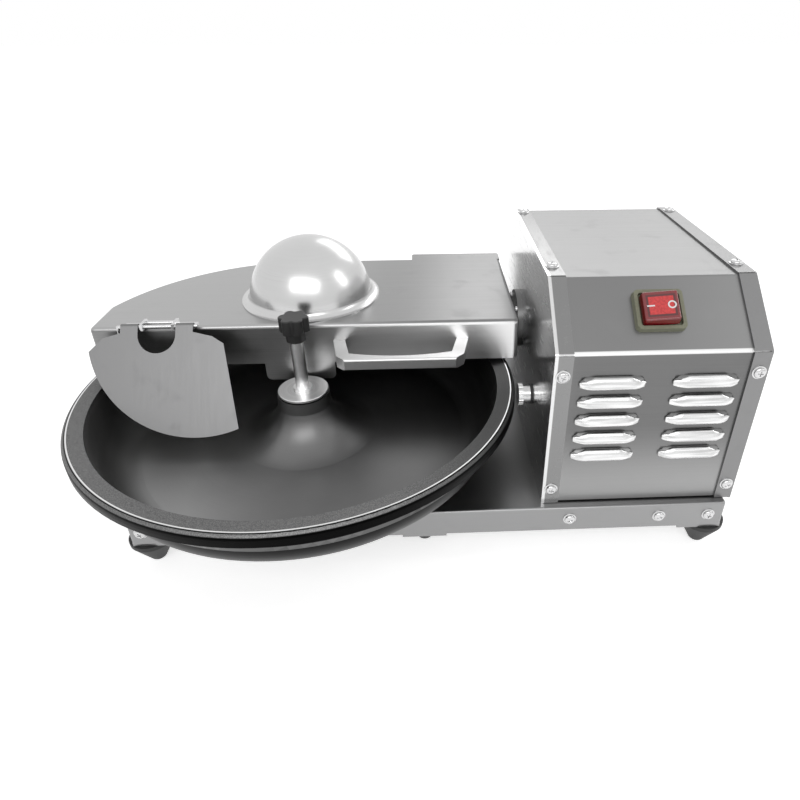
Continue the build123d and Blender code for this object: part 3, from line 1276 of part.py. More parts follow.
pieces = {
    "base_pan": base_pan,
    "foot_rails": foot_rails,
    "rubber_feet": rubber_feet,
    "foot_studs": foot_studs,
    "base_screws": base_screws,
    "side_plate_left": side_plate_left,
    "side_plate_right": lambda: side_plate(housing_right, -1),
    "housing_wrap": housing_wrap,
    "housing_screws": housing_screws,
    "switch_frame": switch_frame,
    "rocker": rocker,
    "bowl": bowl,
    "spindle": spindle,
    "lock_disc": lock_disc,
    "lock_rod": lock_rod,
    "star_knob": star_knob,
    "worm_wheel": worm_wheel,
    "gear_case": gear_case,
    "gear_case_lid": gear_case_lid,
    "spindle_turret": spindle_turret,
    "spindle_bearings": spindle_bearings,
    "worm_shaft": worm_shaft,
    "worm_bearings": worm_bearings,
    "worm_pillow": worm_pillow,
    "worm_pulley": worm_pulley,
    "knife_shaft": knife_shaft,
    "knife_blades": knife_blades,
    "knife_spacers": knife_spacers,
    "knife_nut": knife_nut,
    "knife_pulley": knife_pulley,
    "bearing_barrel": bearing_barrel,
    "knife_bearings": knife_bearings,
    "seal_flange": seal_flange,
    "seal_screws": seal_screws,
    "motor_shell": motor_shell,
    "motor_bolts": motor_bolts,
    "stator": stator,
    "front_shield": lambda: end_shield(shell_x1, 1),
    "rear_shield": lambda: end_shield(shell_x0, -1),
    "motor_bearings": motor_bearings,
    "fan_cowl": fan_cowl,
    "rotor_shaft": rotor_shaft,
    "motor_fan": motor_fan,
    "motor_pulley": motor_pulley,
    "knife_belt": knife_belt,
    "worm_belt": worm_belt,
    "cover_shell": cover_shell,
    "dome": dome,
    "cover_handle": cover_handle,
    "hinge_leaf": hinge_leaf,
    "hinge_post": hinge_post,
    "hinge_pin": hinge_pin,
    "flap": flap,
    "flap_wire": flap_wire,
    "flap_bracket": flap_bracket,
    "side_fitting": side_fitting,
    "fitting_washer": fitting_washer,
    "cord_gland": cord_gland,
    "capacitor": capacitor,
    "capacitor_clamp": capacitor_clamp,
}

os.makedirs("parts", exist_ok=True)
for name, make in pieces.items():
    export_step(Pos(-middle_x, -middle_y, 0) * make(), f"parts/{name}.step")
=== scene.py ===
import math
import bmesh
import bpy
from mathutils import Matrix, Vector


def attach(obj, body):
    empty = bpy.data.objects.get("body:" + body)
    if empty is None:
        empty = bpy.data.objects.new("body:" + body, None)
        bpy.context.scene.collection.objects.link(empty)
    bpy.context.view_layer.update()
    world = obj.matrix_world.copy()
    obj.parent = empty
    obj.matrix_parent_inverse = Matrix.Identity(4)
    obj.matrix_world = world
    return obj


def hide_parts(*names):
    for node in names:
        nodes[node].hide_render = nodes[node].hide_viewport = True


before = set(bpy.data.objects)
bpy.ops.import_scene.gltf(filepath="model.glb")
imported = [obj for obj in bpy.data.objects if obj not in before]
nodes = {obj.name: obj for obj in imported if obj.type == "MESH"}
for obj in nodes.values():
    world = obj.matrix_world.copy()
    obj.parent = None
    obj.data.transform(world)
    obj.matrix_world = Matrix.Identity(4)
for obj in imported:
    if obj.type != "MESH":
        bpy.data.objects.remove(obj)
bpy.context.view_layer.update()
print("frame loaded:", len(nodes), "nodes")

machine = {"middle": (110.4, 22.6), "baseTop": 67.9, "housingX": 249.3, "housingRight": 449.3,
           "housingFront": -96.5, "housingBack": 255.7, "housingTop": 294.8, "housingMiddle": 349.3,
           "frontTop": 242.7, "baseStep": 8.0}


def at(x, y, z):  # drawing millimetres, about the bowl's axis, to scene metres
    return Vector(((x - machine["middle"][0]) / 1000, (y - machine["middle"][1]) / 1000, z / 1000))


# camera, light and floor

eye = {"place": (0.0231, -0.5901, 0.5068), "back": (-0.0406, -0.8616, 0.5060),
       "lens": 27.43, "shiftX": -0.0635, "shiftY": -0.0365}


def makeCamera(c):
    back = Vector(c["back"]).normalized()
    right = Vector((0, 0, 1)).cross(back).normalized()
    turn = Matrix((right, back.cross(right), back)).transposed().to_4x4()
    data = bpy.data.cameras.new("camera")
    data.lens, data.sensor_width = c["lens"], 36
    data.shift_x, data.shift_y = c["shiftX"], c["shiftY"]
    data.clip_start, data.clip_end = 0.01, 100
    camera = bpy.data.objects.new("camera", data)
    camera.matrix_world = Matrix.Translation(c["place"]) @ turn
    bpy.context.scene.collection.objects.link(camera)
    bpy.context.scene.camera = camera


class Val:
    # one socket, so that maths on it reads as an expression
    def __init__(self, tree, out):
        self.tree, self.out = tree, out

    def calc(self, operation, *others):
        return self.tree.val("ShaderNodeMath", {"operation": operation}, dict(enumerate((self,) + others)))

    def __add__(self, other):
        return self.calc("ADD", other)

    def __sub__(self, other):
        return self.calc("SUBTRACT", other)

    def __rsub__(self, other):
        return self.tree.val("ShaderNodeMath", {"operation": "SUBTRACT"}, {0: other, 1: self})

    def __mul__(self, other):
        return self.calc("MULTIPLY", other)

    def __pow__(self, other):
        return self.calc("POWER", other)

    def __abs__(self):
        return self.calc("ABSOLUTE")

    __radd__ = __add__
    __rmul__ = __mul__

    def step(self, low, high):  # 0 below low, 1 above high, smooth between; low > high turns it round
        if low > high:
            return 1 - self.step(high, low)
        sockets = {"Value": self, "From Min": low, "From Max": high}
        return self.tree.val("ShaderNodeMapRange", {"interpolation_type": "SMOOTHSTEP"}, sockets)

    def atMost(self, other):
        return self.calc("MINIMUM", other)

    def atLeast(self, other):
        return self.calc("MAXIMUM", other)


class Tree:
    # any node tree; make() is the one way a node is added
    def __init__(self, tree):
        self.tree = tree

    def make(self, kind, settings=None, sockets=None):
        node = self.tree.nodes.new(kind)
        for key, value in (settings or {}).items():
            setattr(node, key, value)
        for key, value in (sockets or {}).items():
            if isinstance(value, Val):
                value = value.out
            if isinstance(value, bpy.types.NodeSocket):
                self.tree.links.new(value, node.inputs[key])
            else:
                node.inputs[key].default_value = value
        return node

    def val(self, kind, settings=None, sockets=None, out=0):
        return Val(self, self.make(kind, settings, sockets).outputs[out])


def grey(value):
    return (value, value, value, 1)


class Finish(Tree):
    # a material with the few patterns that this machine's metals share
    def __init__(self, name, **fixed):
        self.material = bpy.data.materials.new(name)
        self.material.use_nodes = True
        super().__init__(self.material.node_tree)
        self.tree.nodes.clear()
        self.shader = self.make("ShaderNodeBsdfPrincipled", None, fixed)
        self.make("ShaderNodeOutputMaterial", None, {"Surface": self.shader.outputs[0]})
        self.place = self.make("ShaderNodeTexCoord").outputs["Object"]

    def feed(self, socket, value):
        out = value.out if isinstance(value, Val) else value
        if isinstance(out, bpy.types.NodeSocket):
            self.tree.links.new(out, self.shader.inputs[socket])
        else:
            self.shader.inputs[socket].default_value = out

    def moved(self, middle):  # object coordinates about a point
        sockets = {0: self.place, 1: tuple(middle)}
        return self.make("ShaderNodeVectorMath", {"operation": "SUBTRACT"}, sockets).outputs[0]

    def about(self, middle, scale=(1, 1, 1), turn=(0, 0, 0)):  # the same, turned and scaled
        sockets = {"Vector": self.moved(middle), "Rotation": turn, "Scale": scale}
        return self.make("ShaderNodeMapping", None, sockets).outputs[0]

    def axes(self, vector):
        split = self.make("ShaderNodeSeparateXYZ", None, {0: vector})
        return [Val(self, out) for out in split.outputs]

    def noise(self, vector, scale, detail=2.0, rough=0.5):
        sockets = {"Vector": vector, "Scale": scale, "Detail": detail, "Roughness": rough}
        return self.val("ShaderNodeTexNoise", None, sockets)

    def mix(self, mask, low, high):  # colours
        sockets = {0: mask, 6: low, 7: high}
        return self.make("ShaderNodeMix", {"data_type": "RGBA"}, sockets).outputs[2]

    def bump(self, height, strength, distance=0.001):
        sockets = {"Strength": strength, "Distance": distance, "Height": height}
        self.feed("Normal", self.make("ShaderNodeBump", None, sockets).outputs[0])


def shown(tree):  # 1 where the background is seen, also in metal
    path = tree.make("ShaderNodeLightPath")
    camera, glossy, clear = [Val(tree, path.outputs[f"Is {ray} Ray"])
                             for ray in ("Camera", "Glossy", "Transmission")]
    return camera.atLeast(glossy).atLeast(clear)


def makeWorld(w):
    world = bpy.data.worlds.new("studio")
    world.use_nodes = True
    world.node_tree.nodes.clear()
    tree = Tree(world.node_tree)
    seen = shown(tree)
    light = tree.make("ShaderNodeBackground", None, {"Color": grey(1), "Strength": w["light"]})
    white = tree.make("ShaderNodeBackground", None, {"Color": grey(1), "Strength": 1.0})
    both = tree.make("ShaderNodeMixShader", None, {0: seen, 1: light.outputs[0], 2: white.outputs[0]})
    tree.make("ShaderNodeOutputWorld", None, {"Surface": both.outputs[0]})
    bpy.context.scene.world = world


studio = {"light": 0.5,
          # each box: place, aim, width, height, brightness of its face
          "boxes": {"front": ((-0.2, -2.1, 2.0), (0.1, 0.0, 0.15), 2.6, 1.1, 2.6),
                    "back": ((0.9, 2.3, 1.55), (0.15, 0.0, 0.2), 1.8, 1.0, 2.0),
                    "window": ((2.3, -0.2, 1.6), (0.0, 0.0, 0.2), 0.5, 1.1, 3.5)}}


def makeBox(name, place, aim, width, height, bright):
    data = bpy.data.lights.new(name, "AREA")
    data.shape, data.size, data.size_y = "RECTANGLE", width, height
    data.energy = bright * math.pi * width * height
    lamp = bpy.data.objects.new(name, data)
    toward = Vector(aim) - Vector(place)
    lamp.matrix_world = Matrix.Translation(place) @ toward.to_track_quat("-Z", "Y").to_matrix().to_4x4()
    bpy.context.scene.collection.objects.link(lamp)


def makeFloor(size=24.0, tone=0.9):
    bm = bmesh.new()
    bmesh.ops.create_grid(bm, x_segments=8, y_segments=8, size=size / 2)
    floor = addMesh("floor", bm)
    paper = Finish("floorPaper", **{"Roughness": 0.9, "Specular IOR Level": 0.1, "Emission Strength": 1.0})
    speck = paper.noise(paper.place, 60, 3).step(0.3, 0.7)
    paper.feed("Base Color", paper.mix(speck, grey(tone - 0.008), grey(tone + 0.008)))
    paper.feed("Emission Color", paper.mix(shown(paper), grey(0), grey(0.6)))
    floor.data.materials.append(paper.material)


def addMesh(name, bm):
    mesh = bpy.data.meshes.new(name)
    bm.to_mesh(mesh)
    bm.free()
    piece = bpy.data.objects.new(name, mesh)
    bpy.context.scene.collection.objects.link(piece)
    return piece


bpy.context.scene.view_settings.view_transform = "Standard"
makeCamera(eye)
makeWorld(studio)
for boxName, boxFacts in studio["boxes"].items():
    makeBox(boxName, *boxFacts)
makeFloor()
print("studio ready")


# finishes

bowlAxis = at(0, 0, 0)
knifeAxis = at(0, 112, 182)


def brushedSteel(name, tone, grain=(1, 1, 1), rough=0.33, streak=0.03, cloud=0.03):
    # rolled sheet: fine streaks along the long side of grain, soft clouds, faint handling marks
    f = Finish(name, **{"Metallic": 1.0})
    lines = f.noise(f.about((0, 0, 0), grain), 1.0, 3, 0.65)
    soft = f.noise(f.place, 5.5, 2)
    touch = f.noise(f.place, 38, 4).step(0.56, 0.74)
    shade = 1 + (lines - 0.5) * streak * 2 + (soft - 0.5) * cloud * 2 - touch * 0.02
    f.feed("Base Color", f.mix(shade * 0.5, grey(0), (tone * 2, tone * 2, tone * 2.01, 1)))
    f.feed("Roughness", rough + (lines - 0.5) * 0.12 + touch * 0.05)
    f.bump(lines, 0.06, 0.0004)
    return f


# scene metres that a tone runs between, then the two tones; the front, roof and slope tones are painted
# shade and light, the bend tone a painted highlight
wrap = {"grain": (6, 900, 900), "skin": at(0, -94.7, 0).y,
        "low": (0.17, 0.085), "left": (0.165, 0.13), "frontShadeTones": (0.145, 0.36),
        "roofX": (0.1, 0.34), "roofShadeTones": (0.23, 0.185), "roofZ": (0.291, 0.2945),
        "slopeX": (0.2, 0.33), "slopeShadeTones": (0.22, 0.27),
        "bendHighlightZ": ((0.2402, 0.2412), (0.2444, 0.2434)), "bendHighlightTone": 0.85,
        "jointZ": (0.0702, 0.0696), "jointTone": 0.01}


def wrapSteel(m):
    # painted shade: the front darker at its top right, roof and slope in tones of their own; a painted
    # highlight along the bend; an open joint over the base
    f = brushedSteel("wrapSteel", 0.33, m["grain"], 0.34)
    x, y, z = f.axes(f.place)
    upright = y.step(m["skin"] + 0.004, m["skin"] + 0.001)
    # painted shade: the front is lighter low down and at its left, darker at its top right
    low = z.step(*m["low"]) * 0.9 + x.step(*m["left"]) * 0.45
    low = low.atMost(1) * upright
    grain = f.noise(f.about((0, 0, 0), m["grain"]), 1.0, 3, 0.65)
    front = f.mix(low * 0.85 + grain * 0.15, *map(grey, m["frontShadeTones"]))
    # painted light and shade: the roof and the slope get tones of their own, graded across x
    roof = f.mix(x.step(*m["roofX"]), *map(grey, m["roofShadeTones"]))
    slope = f.mix(x.step(*m["slopeX"]), *map(grey, m["slopeShadeTones"]))
    above = f.mix(z.step(*m["roofZ"]), slope, roof)
    # painted highlight: a near-white line along the bend
    bendHighlight = z.step(*m["bendHighlightZ"][0]) * z.step(*m["bendHighlightZ"][1]) * y.step(m["skin"] + 0.006, m["skin"] + 0.004)
    lit = f.mix(bendHighlight, f.mix(upright, above, front), grey(m["bendHighlightTone"]))
    f.feed("Base Color", f.mix(z.step(*m["jointZ"]), lit, grey(m["jointTone"])))
    return f


hatch = {"grain": (7, 700, 700), "right": (-0.04, 0.16), "topShadeTones": (0.42, 0.21),
         "skirtZ": (0.2165, 0.2145), "skirtY": (0.034, 0.031), "skirtHighlightTones": (0.18, 0.95)}


def coverSteel(m):
    # painted shade: the top darker towards the housing; painted highlight: the upright skirt, bright
    # towards the housing
    f = brushedSteel("coverSteel", 0.38, m["grain"], 0.32)
    x, y, z = f.axes(f.about(bowlAxis))
    grain = f.noise(f.about((0, 0, 0), m["grain"]), 1.0, 3, 0.65)
    skirt = z.step(*m["skirtZ"]) * y.step(*m["skirtY"])
    # painted light and shade graded across x: the top darkens and the skirt brightens towards the housing
    paintedFade = x.step(*m["right"]) * 0.9 + grain * 0.1
    top, side = [f.mix(paintedFade, *map(grey, m[tones])) for tones in ("topShadeTones", "skirtHighlightTones")]
    f.feed("Base Color", f.mix(skirt, top, side))
    return f


def polishedPlate():
    # mirror polish with fine wiping lines; the flanges painted darker than the web as shade
    f = Finish("polishedPlate", **{"Metallic": 1.0})
    wipe = f.noise(f.about((0, 0, 0), (200, 30, 420), (0.25, 0, 0)), 1.0, 3)
    soft = f.noise(f.place, 9, 2)
    # painted shade: the flanges far darker than the polished web
    flange = f.axes(f.place)[0].step(at(252, 0, 0).x, at(253, 0, 0).x)
    f.feed("Base Color", f.mix(flange, f.mix(soft, grey(0.66), grey(0.78)), grey(0.25)))
    f.feed("Roughness", 0.2 + wipe.step(0.45, 0.8) * 0.12)
    f.bump(soft, 0.05, 0.002)
    return f


def turnedSteel(name, middle, axis, tone, rough, ring=1800.0, streak=0.12):
    # concentric lathe lines about an axis
    f = Finish(name, **{"Metallic": 1.0})
    parts = f.axes(f.about(middle))
    along = parts.pop("xyz".index(axis))
    radius = (parts[0] ** 2 + parts[1] ** 2) ** 0.5
    where = f.make("ShaderNodeCombineXYZ", None, {0: radius * ring, 1: along * ring, 2: 0.0}).outputs[0]
    lines = f.noise(where, 1.0, 2)
    soft = f.noise(f.place, 24, 3)
    shade = 1 + (lines - 0.5) * streak + (soft - 0.5) * 0.08
    f.feed("Base Color", f.mix(shade * 0.5, grey(0), grey(tone * 2)))
    f.feed("Roughness", rough + (lines - 0.5) * 0.1)
    f.bump(lines, 0.05, 0.0003)
    return f


# radii and heights about the bowl's axis, in scene metres, each pair the edge of a soft step; the crest
# ring is a painted highlight, the crease and lip rings painted shade
rim = {"band": (0.2085, 0.2095), "crestHighlight": ((0.2228, 0.2232), (0.2244, 0.2240)),
       "creaseShade": ((0.2244, 0.2247), (0.2256, 0.2253)), "lip": (0.2274, 0.2280),
       "bandZ": (0.158, 0.1602), "edgeZ": (0.1648, 0.1655)}


def bowlCoat(m):
    # dark coated casting with turned rim band; painted light on its left and shade on its right, a painted
    # highlight on the crest, painted shade past the crest, on the outer lip and on down-facing faces
    f = Finish("bowlCoat", **{"Metallic": 1.0})
    x, y, z = f.axes(f.about(bowlAxis))
    r = (x ** 2 + y ** 2) ** 0.5
    where = f.make("ShaderNodeCombineXYZ", None, {0: r * 900, 1: z * 900, 2: 0.0}).outputs[0]
    lines = f.noise(where, 1.0, 2)
    soft = f.noise(f.place, 14, 3)
    speck = f.noise(f.place, 1100, 2).step(0.42, 0.6)
    # painted light and shade: the inside and the rim band lighter on the left, darker on the right
    left, right = x.step(0.01, -0.15), x.step(0.08, 0.2)
    shade = (0.9 + soft * 0.2 + lines * 0.1) * (1 + left * 1.2) * (1 - right * 0.45)
    inside = f.mix(shade * 0.5, grey(0), grey(0.32))
    edge = z.step(*m["edgeZ"])
    band = r.step(*m["band"]) * z.step(*m["bandZ"])
    crestHighlight, creaseShade = [r.step(*m[part][0]) * r.step(*m[part][1]) * edge for part in ("crestHighlight", "creaseShade")]
    lip = r.step(*m["lip"])
    bandShadeTone = f.mix(speck * (1 - right * 0.9), f.mix(right, grey(0.13), grey(0.06)), grey(0.21))
    tone = f.mix(band, inside, bandShadeTone)
    # painted highlight: a near-white ring on the crest
    tone = f.mix(crestHighlight, tone, grey(0.8))
    # painted shade: a near-black ring in the crease past the crest, and the outer lip near black
    tone = f.mix(creaseShade, tone, grey(0.012))
    tone = f.mix(lip, tone, grey(0.002))
    facing = f.axes(f.make("ShaderNodeNewGeometry").outputs["True Normal"])
    # painted shade: faces that look downwards near black
    undersideShade = facing[2].step(-0.02, -0.12)
    f.feed("Base Color", f.mix(undersideShade, tone, grey(0.01)))
    f.feed("Roughness", 0.4 + band * 0.1 - crestHighlight * 0.15 + (lines - 0.5) * 0.1)
    f.bump(lines * 0.5 + speck * band, 0.08, 0.0003)
    return f


def castMetal(name, tone, rough, scale=420.0, metal=1.0, depth=0.15):
    f = Finish(name, **{"Metallic": metal})
    grit = f.noise(f.place, scale, 3, 0.6)
    soft = f.noise(f.place, 16, 3)
    shade = 1 + (grit - 0.5) * 0.12 + (soft - 0.5) * 0.1
    f.feed("Base Color", f.mix(shade * 0.5, (0, 0, 0, 1), (*[c * 2 for c in tone], 1)))
    f.feed("Roughness", rough + (grit - 0.5) * 0.12)
    f.bump(grit, depth, 0.0006)
    return f


def blackRubber(name="blackRubber", tone=0.035, rough=0.62):
    f = Finish(name)
    grit = f.noise(f.place, 600, 3)
    dust = f.noise(f.place, 18, 3).step(0.48, 0.78)
    f.feed("Base Color", f.mix(dust * 0.5, grey(tone), grey(tone * 2.2)))
    f.feed("Roughness", rough + dust * 0.12)
    f.bump(grit, 0.2, 0.0005)
    return f


def blackPlastic():
    f = Finish("blackPlastic", **{"Specular IOR Level": 0.5})
    grain = f.noise(f.place, 1500, 2)
    wear = f.noise(f.place, 42, 3).step(0.5, 0.8)
    f.feed("Base Color", f.mix(wear, grey(0.022), grey(0.04)))
    f.feed("Roughness", 0.3 + wear * 0.14)
    f.bump(grain, 0.12, 0.0002)
    return f


# half widths and half heights, each pair the edge of a soft step
cap = {"window": ((0.0115, 0.0108), (0.0092, 0.0085)), "grooveShade": ((0.0135, 0.0128), (0.0112, 0.0105))}


def redCap(c, onPanel):
    # clear red moulding: a groove painted dark as shade round a brighter window
    f = Finish("redCap", **{"Coat Weight": 0.6, "Coat Roughness": 0.04, "Specular IOR Level": 0.6})
    back = onPanel.to_3x3().inverted().to_euler()
    local = f.make("ShaderNodeMapping", {"vector_type": "VECTOR"},
                   {"Vector": f.moved(onPanel.translation), "Rotation": tuple(back)}).outputs[0]
    u, v = f.axes(local)[:2]
    inner, outer = [abs(u).step(*c[part][0]) * abs(v).step(*c[part][1]) for part in ("window", "grooveShade")]
    facets = f.noise(local, 420, 2)
    border = f.mix(facets, (0.16, 0.008, 0.012, 1), (0.30, 0.014, 0.018, 1))
    window = f.mix(facets.step(0.3, 0.7), (0.55, 0.012, 0.015, 1), (0.78, 0.03, 0.03, 1))
    # painted shade: the groove ring dark
    tone = f.mix(outer * (1 - inner), border, (0.09, 0.004, 0.006, 1))
    f.feed("Base Color", f.mix(inner, tone, window))
    f.feed("Roughness", 0.14 + facets * 0.06)
    return f


def switchRim():
    f = Finish("switchRim", **{"Specular IOR Level": 0.45})
    grain = f.noise(f.place, 300, 3)
    f.feed("Base Color", f.mix(grain, (0.17, 0.175, 0.12, 1), (0.26, 0.265, 0.19, 1)))
    f.feed("Roughness", 0.38 + grain * 0.1)
    f.bump(grain, 0.1, 0.0003)
    return f


def softPaint(name, tone, rough=0.45):
    f = Finish(name, **{"Specular IOR Level": 0.5})
    peel = f.noise(f.place, 210, 3)
    dirt = f.noise(f.place, 20, 4).step(0.5, 0.8)
    f.feed("Base Color", f.mix(dirt * 0.4, (*tone, 1), (*[c * 0.55 for c in tone], 1)))
    f.feed("Roughness", rough + dirt * 0.15)
    f.bump(peel, 0.1, 0.0008)
    return f


def windings():
    f = Finish("windings", **{"Metallic": 0.4})
    wires = f.noise(f.about((0, 0, 0), (1500, 60, 60)), 1.0, 2)
    f.feed("Base Color", f.mix(wires, (0.10, 0.04, 0.02, 1), (0.45, 0.2, 0.1, 1)))
    f.feed("Roughness", 0.35 + wires * 0.2)
    f.bump(wires, 0.3, 0.001)
    return f


def dress(finish, *names):
    for name in names:
        piece = nodes[name]
        if not piece.material_slots:
            piece.data.materials.append(finish.material)
        for place in piece.material_slots:
            place.material = finish.material


switch = {"lean": math.atan2(52.1, 60.8), "up": 42.5, "capTop": 14.0, "tilt": 8.0, "skin": 2.0,
          "pivotUp": 2.0}


def panelPlace(s, tilted):  # local X to the right, Y up the slope, Z outwards
    y = machine["housingFront"] + s["up"] * math.cos(s["lean"]) + s["skin"] * math.sin(s["lean"])
    z = machine["frontTop"] + s["up"] * math.sin(s["lean"]) - s["skin"] * math.cos(s["lean"])
    place = Matrix.Translation(at(machine["housingMiddle"], y, z)) @ Matrix.Rotation(s["lean"], 4, "X")
    if tilted:
        lift = Matrix.Translation((0, 0, s["pivotUp"] / 1000))
        place = place @ lift @ Matrix.Rotation(-math.radians(s["tilt"]), 4, "Y") @ lift.inverted()
    return place


capPlace = panelPlace(switch, True)

dress(wrapSteel(wrap), "housing_wrap")
dress(brushedSteel("flangeSteel", 0.24, (500, 500, 9), 0.36), "side_plate_right")
dress(polishedPlate(), "side_plate_left")
dress(brushedSteel("baseSteel", 0.31, (6, 900, 900), 0.36), "base_pan", "foot_rails")
dress(coverSteel(hatch), "cover_shell", "hinge_leaf")
dress(brushedSteel("flapSteel", 0.2, (500, 40, 8), 0.42), "flap")
dress(turnedSteel("domeSteel", knifeAxis, "z", 0.6, 0.25, 1200), "dome")
dress(castMetal("handleCast", (0.62, 0.62, 0.62), 0.36), "cover_handle")
dress(bowlCoat(rim), "bowl")
dress(turnedSteel("discSteel", bowlAxis, "z", 0.7, 0.3, 700, 0.3), "lock_disc")
dress(turnedSteel("rodChrome", bowlAxis, "z", 0.95, 0.3, 300, 0.06), "lock_rod", "spindle")
dress(blackPlastic(), "star_knob")
dress(redCap(cap, capPlace @ Matrix.Translation((0, 0, switch["capTop"] / 1000))), "rocker")
dress(switchRim(), "switch_frame")
dress(blackRubber(), "rubber_feet", "fitting_washer", "knife_belt", "worm_belt")
dress(blackRubber("glandPlastic", 0.02, 0.42), "cord_gland")
dress(brushedSteel("wireSteel", 0.62, (300, 300, 300), 0.2), "flap_wire", "flap_bracket")
dress(turnedSteel("fittingChrome", at(0, -2, 143), "x", 0.7, 0.15, 500), "side_fitting")
dress(brushedSteel("postSteel", 0.34, (500, 500, 9), 0.36), "hinge_post", "capacitor_clamp")
dress(turnedSteel("groundSteel", knifeAxis, "x", 0.6, 0.24, 900), "knife_shaft", "knife_spacers",
      "knife_nut", "knife_bearings", "hinge_pin")
dress(turnedSteel("sealSteel", knifeAxis, "x", 0.16, 0.4, 900), "seal_flange")
dress(brushedSteel("bladeSteel", 0.62, (60, 60, 60), 0.16), "knife_blades")
dress(brushedSteel("zincScrew", 0.6, (300, 300, 300), 0.28), "seal_screws", "foot_studs", "motor_bolts")
dress(turnedSteel("motorSteel", at(0, 20, 140), "x", 0.55, 0.26, 700), "rotor_shaft", "motor_bearings",
      "motor_pulley")
dress(turnedSteel("driveSteel", at(0, 39, 56), "x", 0.5, 0.3, 700), "worm_shaft", "worm_bearings",
      "worm_pulley")
dress(turnedSteel("pulleySteel", knifeAxis, "x", 0.45, 0.32, 700), "knife_pulley")
dress(turnedSteel("spindleSteel", bowlAxis, "z", 0.5, 0.28, 700), "spindle_bearings")
dress(castMetal("castIron", (0.12, 0.125, 0.13), 0.55, 300, 0.3, 0.3), "gear_case", "gear_case_lid",
      "spindle_turret", "worm_pillow", "bearing_barrel")
dress(castMetal("bronzeWheel", (0.5, 0.33, 0.14), 0.34), "worm_wheel")
dress(softPaint("motorPaint", (0.05, 0.075, 0.11)), "motor_shell", "front_shield", "rear_shield",
      "fan_cowl")
dress(softPaint("fanPlastic", (0.02, 0.02, 0.022)), "motor_fan")
dress(softPaint("capacitorCan", (0.55, 0.55, 0.56), 0.35), "capacitor")
dress(windings(), "stator")
print("finishes ready")


# switch marks

marks = {"half": 9.4, "barLength": 7.0, "barWidth": 1.4, "ring": 3.2, "wire": 0.7, "lift": 0.12,
         "steps": 40}


def makeMarks(m):
    bm = bmesh.new()
    bar = bmesh.ops.create_cube(bm, size=1)["verts"]
    bmesh.ops.scale(bm, vec=(m["barLength"], m["barWidth"], m["lift"] * 2), verts=bar)
    bmesh.ops.translate(bm, vec=(-m["half"], 0, 0), verts=bar)
    bmesh.ops.bevel(bm, geom=[e for e in bm.edges], offset=0.1, segments=2, affect="EDGES")
    loops, steps = [], m["steps"]
    for k in range(steps):
        a = 2 * math.pi * k / steps
        row = []
        for out, up in ((-1, -1), (1, -1), (1, 1), (-1, 1)):
            r = m["ring"] + out * m["wire"]
            row.append(bm.verts.new((m["half"] + r * math.cos(a), r * math.sin(a), up * m["lift"])))
        loops.append(row)
    for k in range(steps):
        for j in range(4):
            a, b = loops[k], loops[(k + 1) % steps]
            bm.faces.new((a[j], b[j], b[(j + 1) % 4], a[(j + 1) % 4]))
    bmesh.ops.recalc_face_normals(bm, faces=bm.faces)
    place = capPlace @ Matrix.Translation((0, 0, switch["capTop"] / 1000)) @ Matrix.Scale(0.001, 4)
    bmesh.ops.transform(bm, matrix=place, verts=bm.verts)
    piece = addMesh("switchMarks", bm)
    f = Finish("markWhite", **{"Specular IOR Level": 0.4})
    f.feed("Base Color", f.mix(f.noise(f.place, 700, 2), grey(0.8), grey(0.9)))
    f.feed("Roughness", 0.4 + f.noise(f.place, 300, 2) * 0.1)
    piece.data.materials.append(f.material)
    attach(piece, "rocker")
    return piece


makeMarks(marks)
print("switch marked")


# repeated pieces

def evaluated(piece):
    graph = bpy.context.evaluated_depsgraph_get()
    return bpy.data.meshes.new_from_object(piece.evaluated_get(graph))


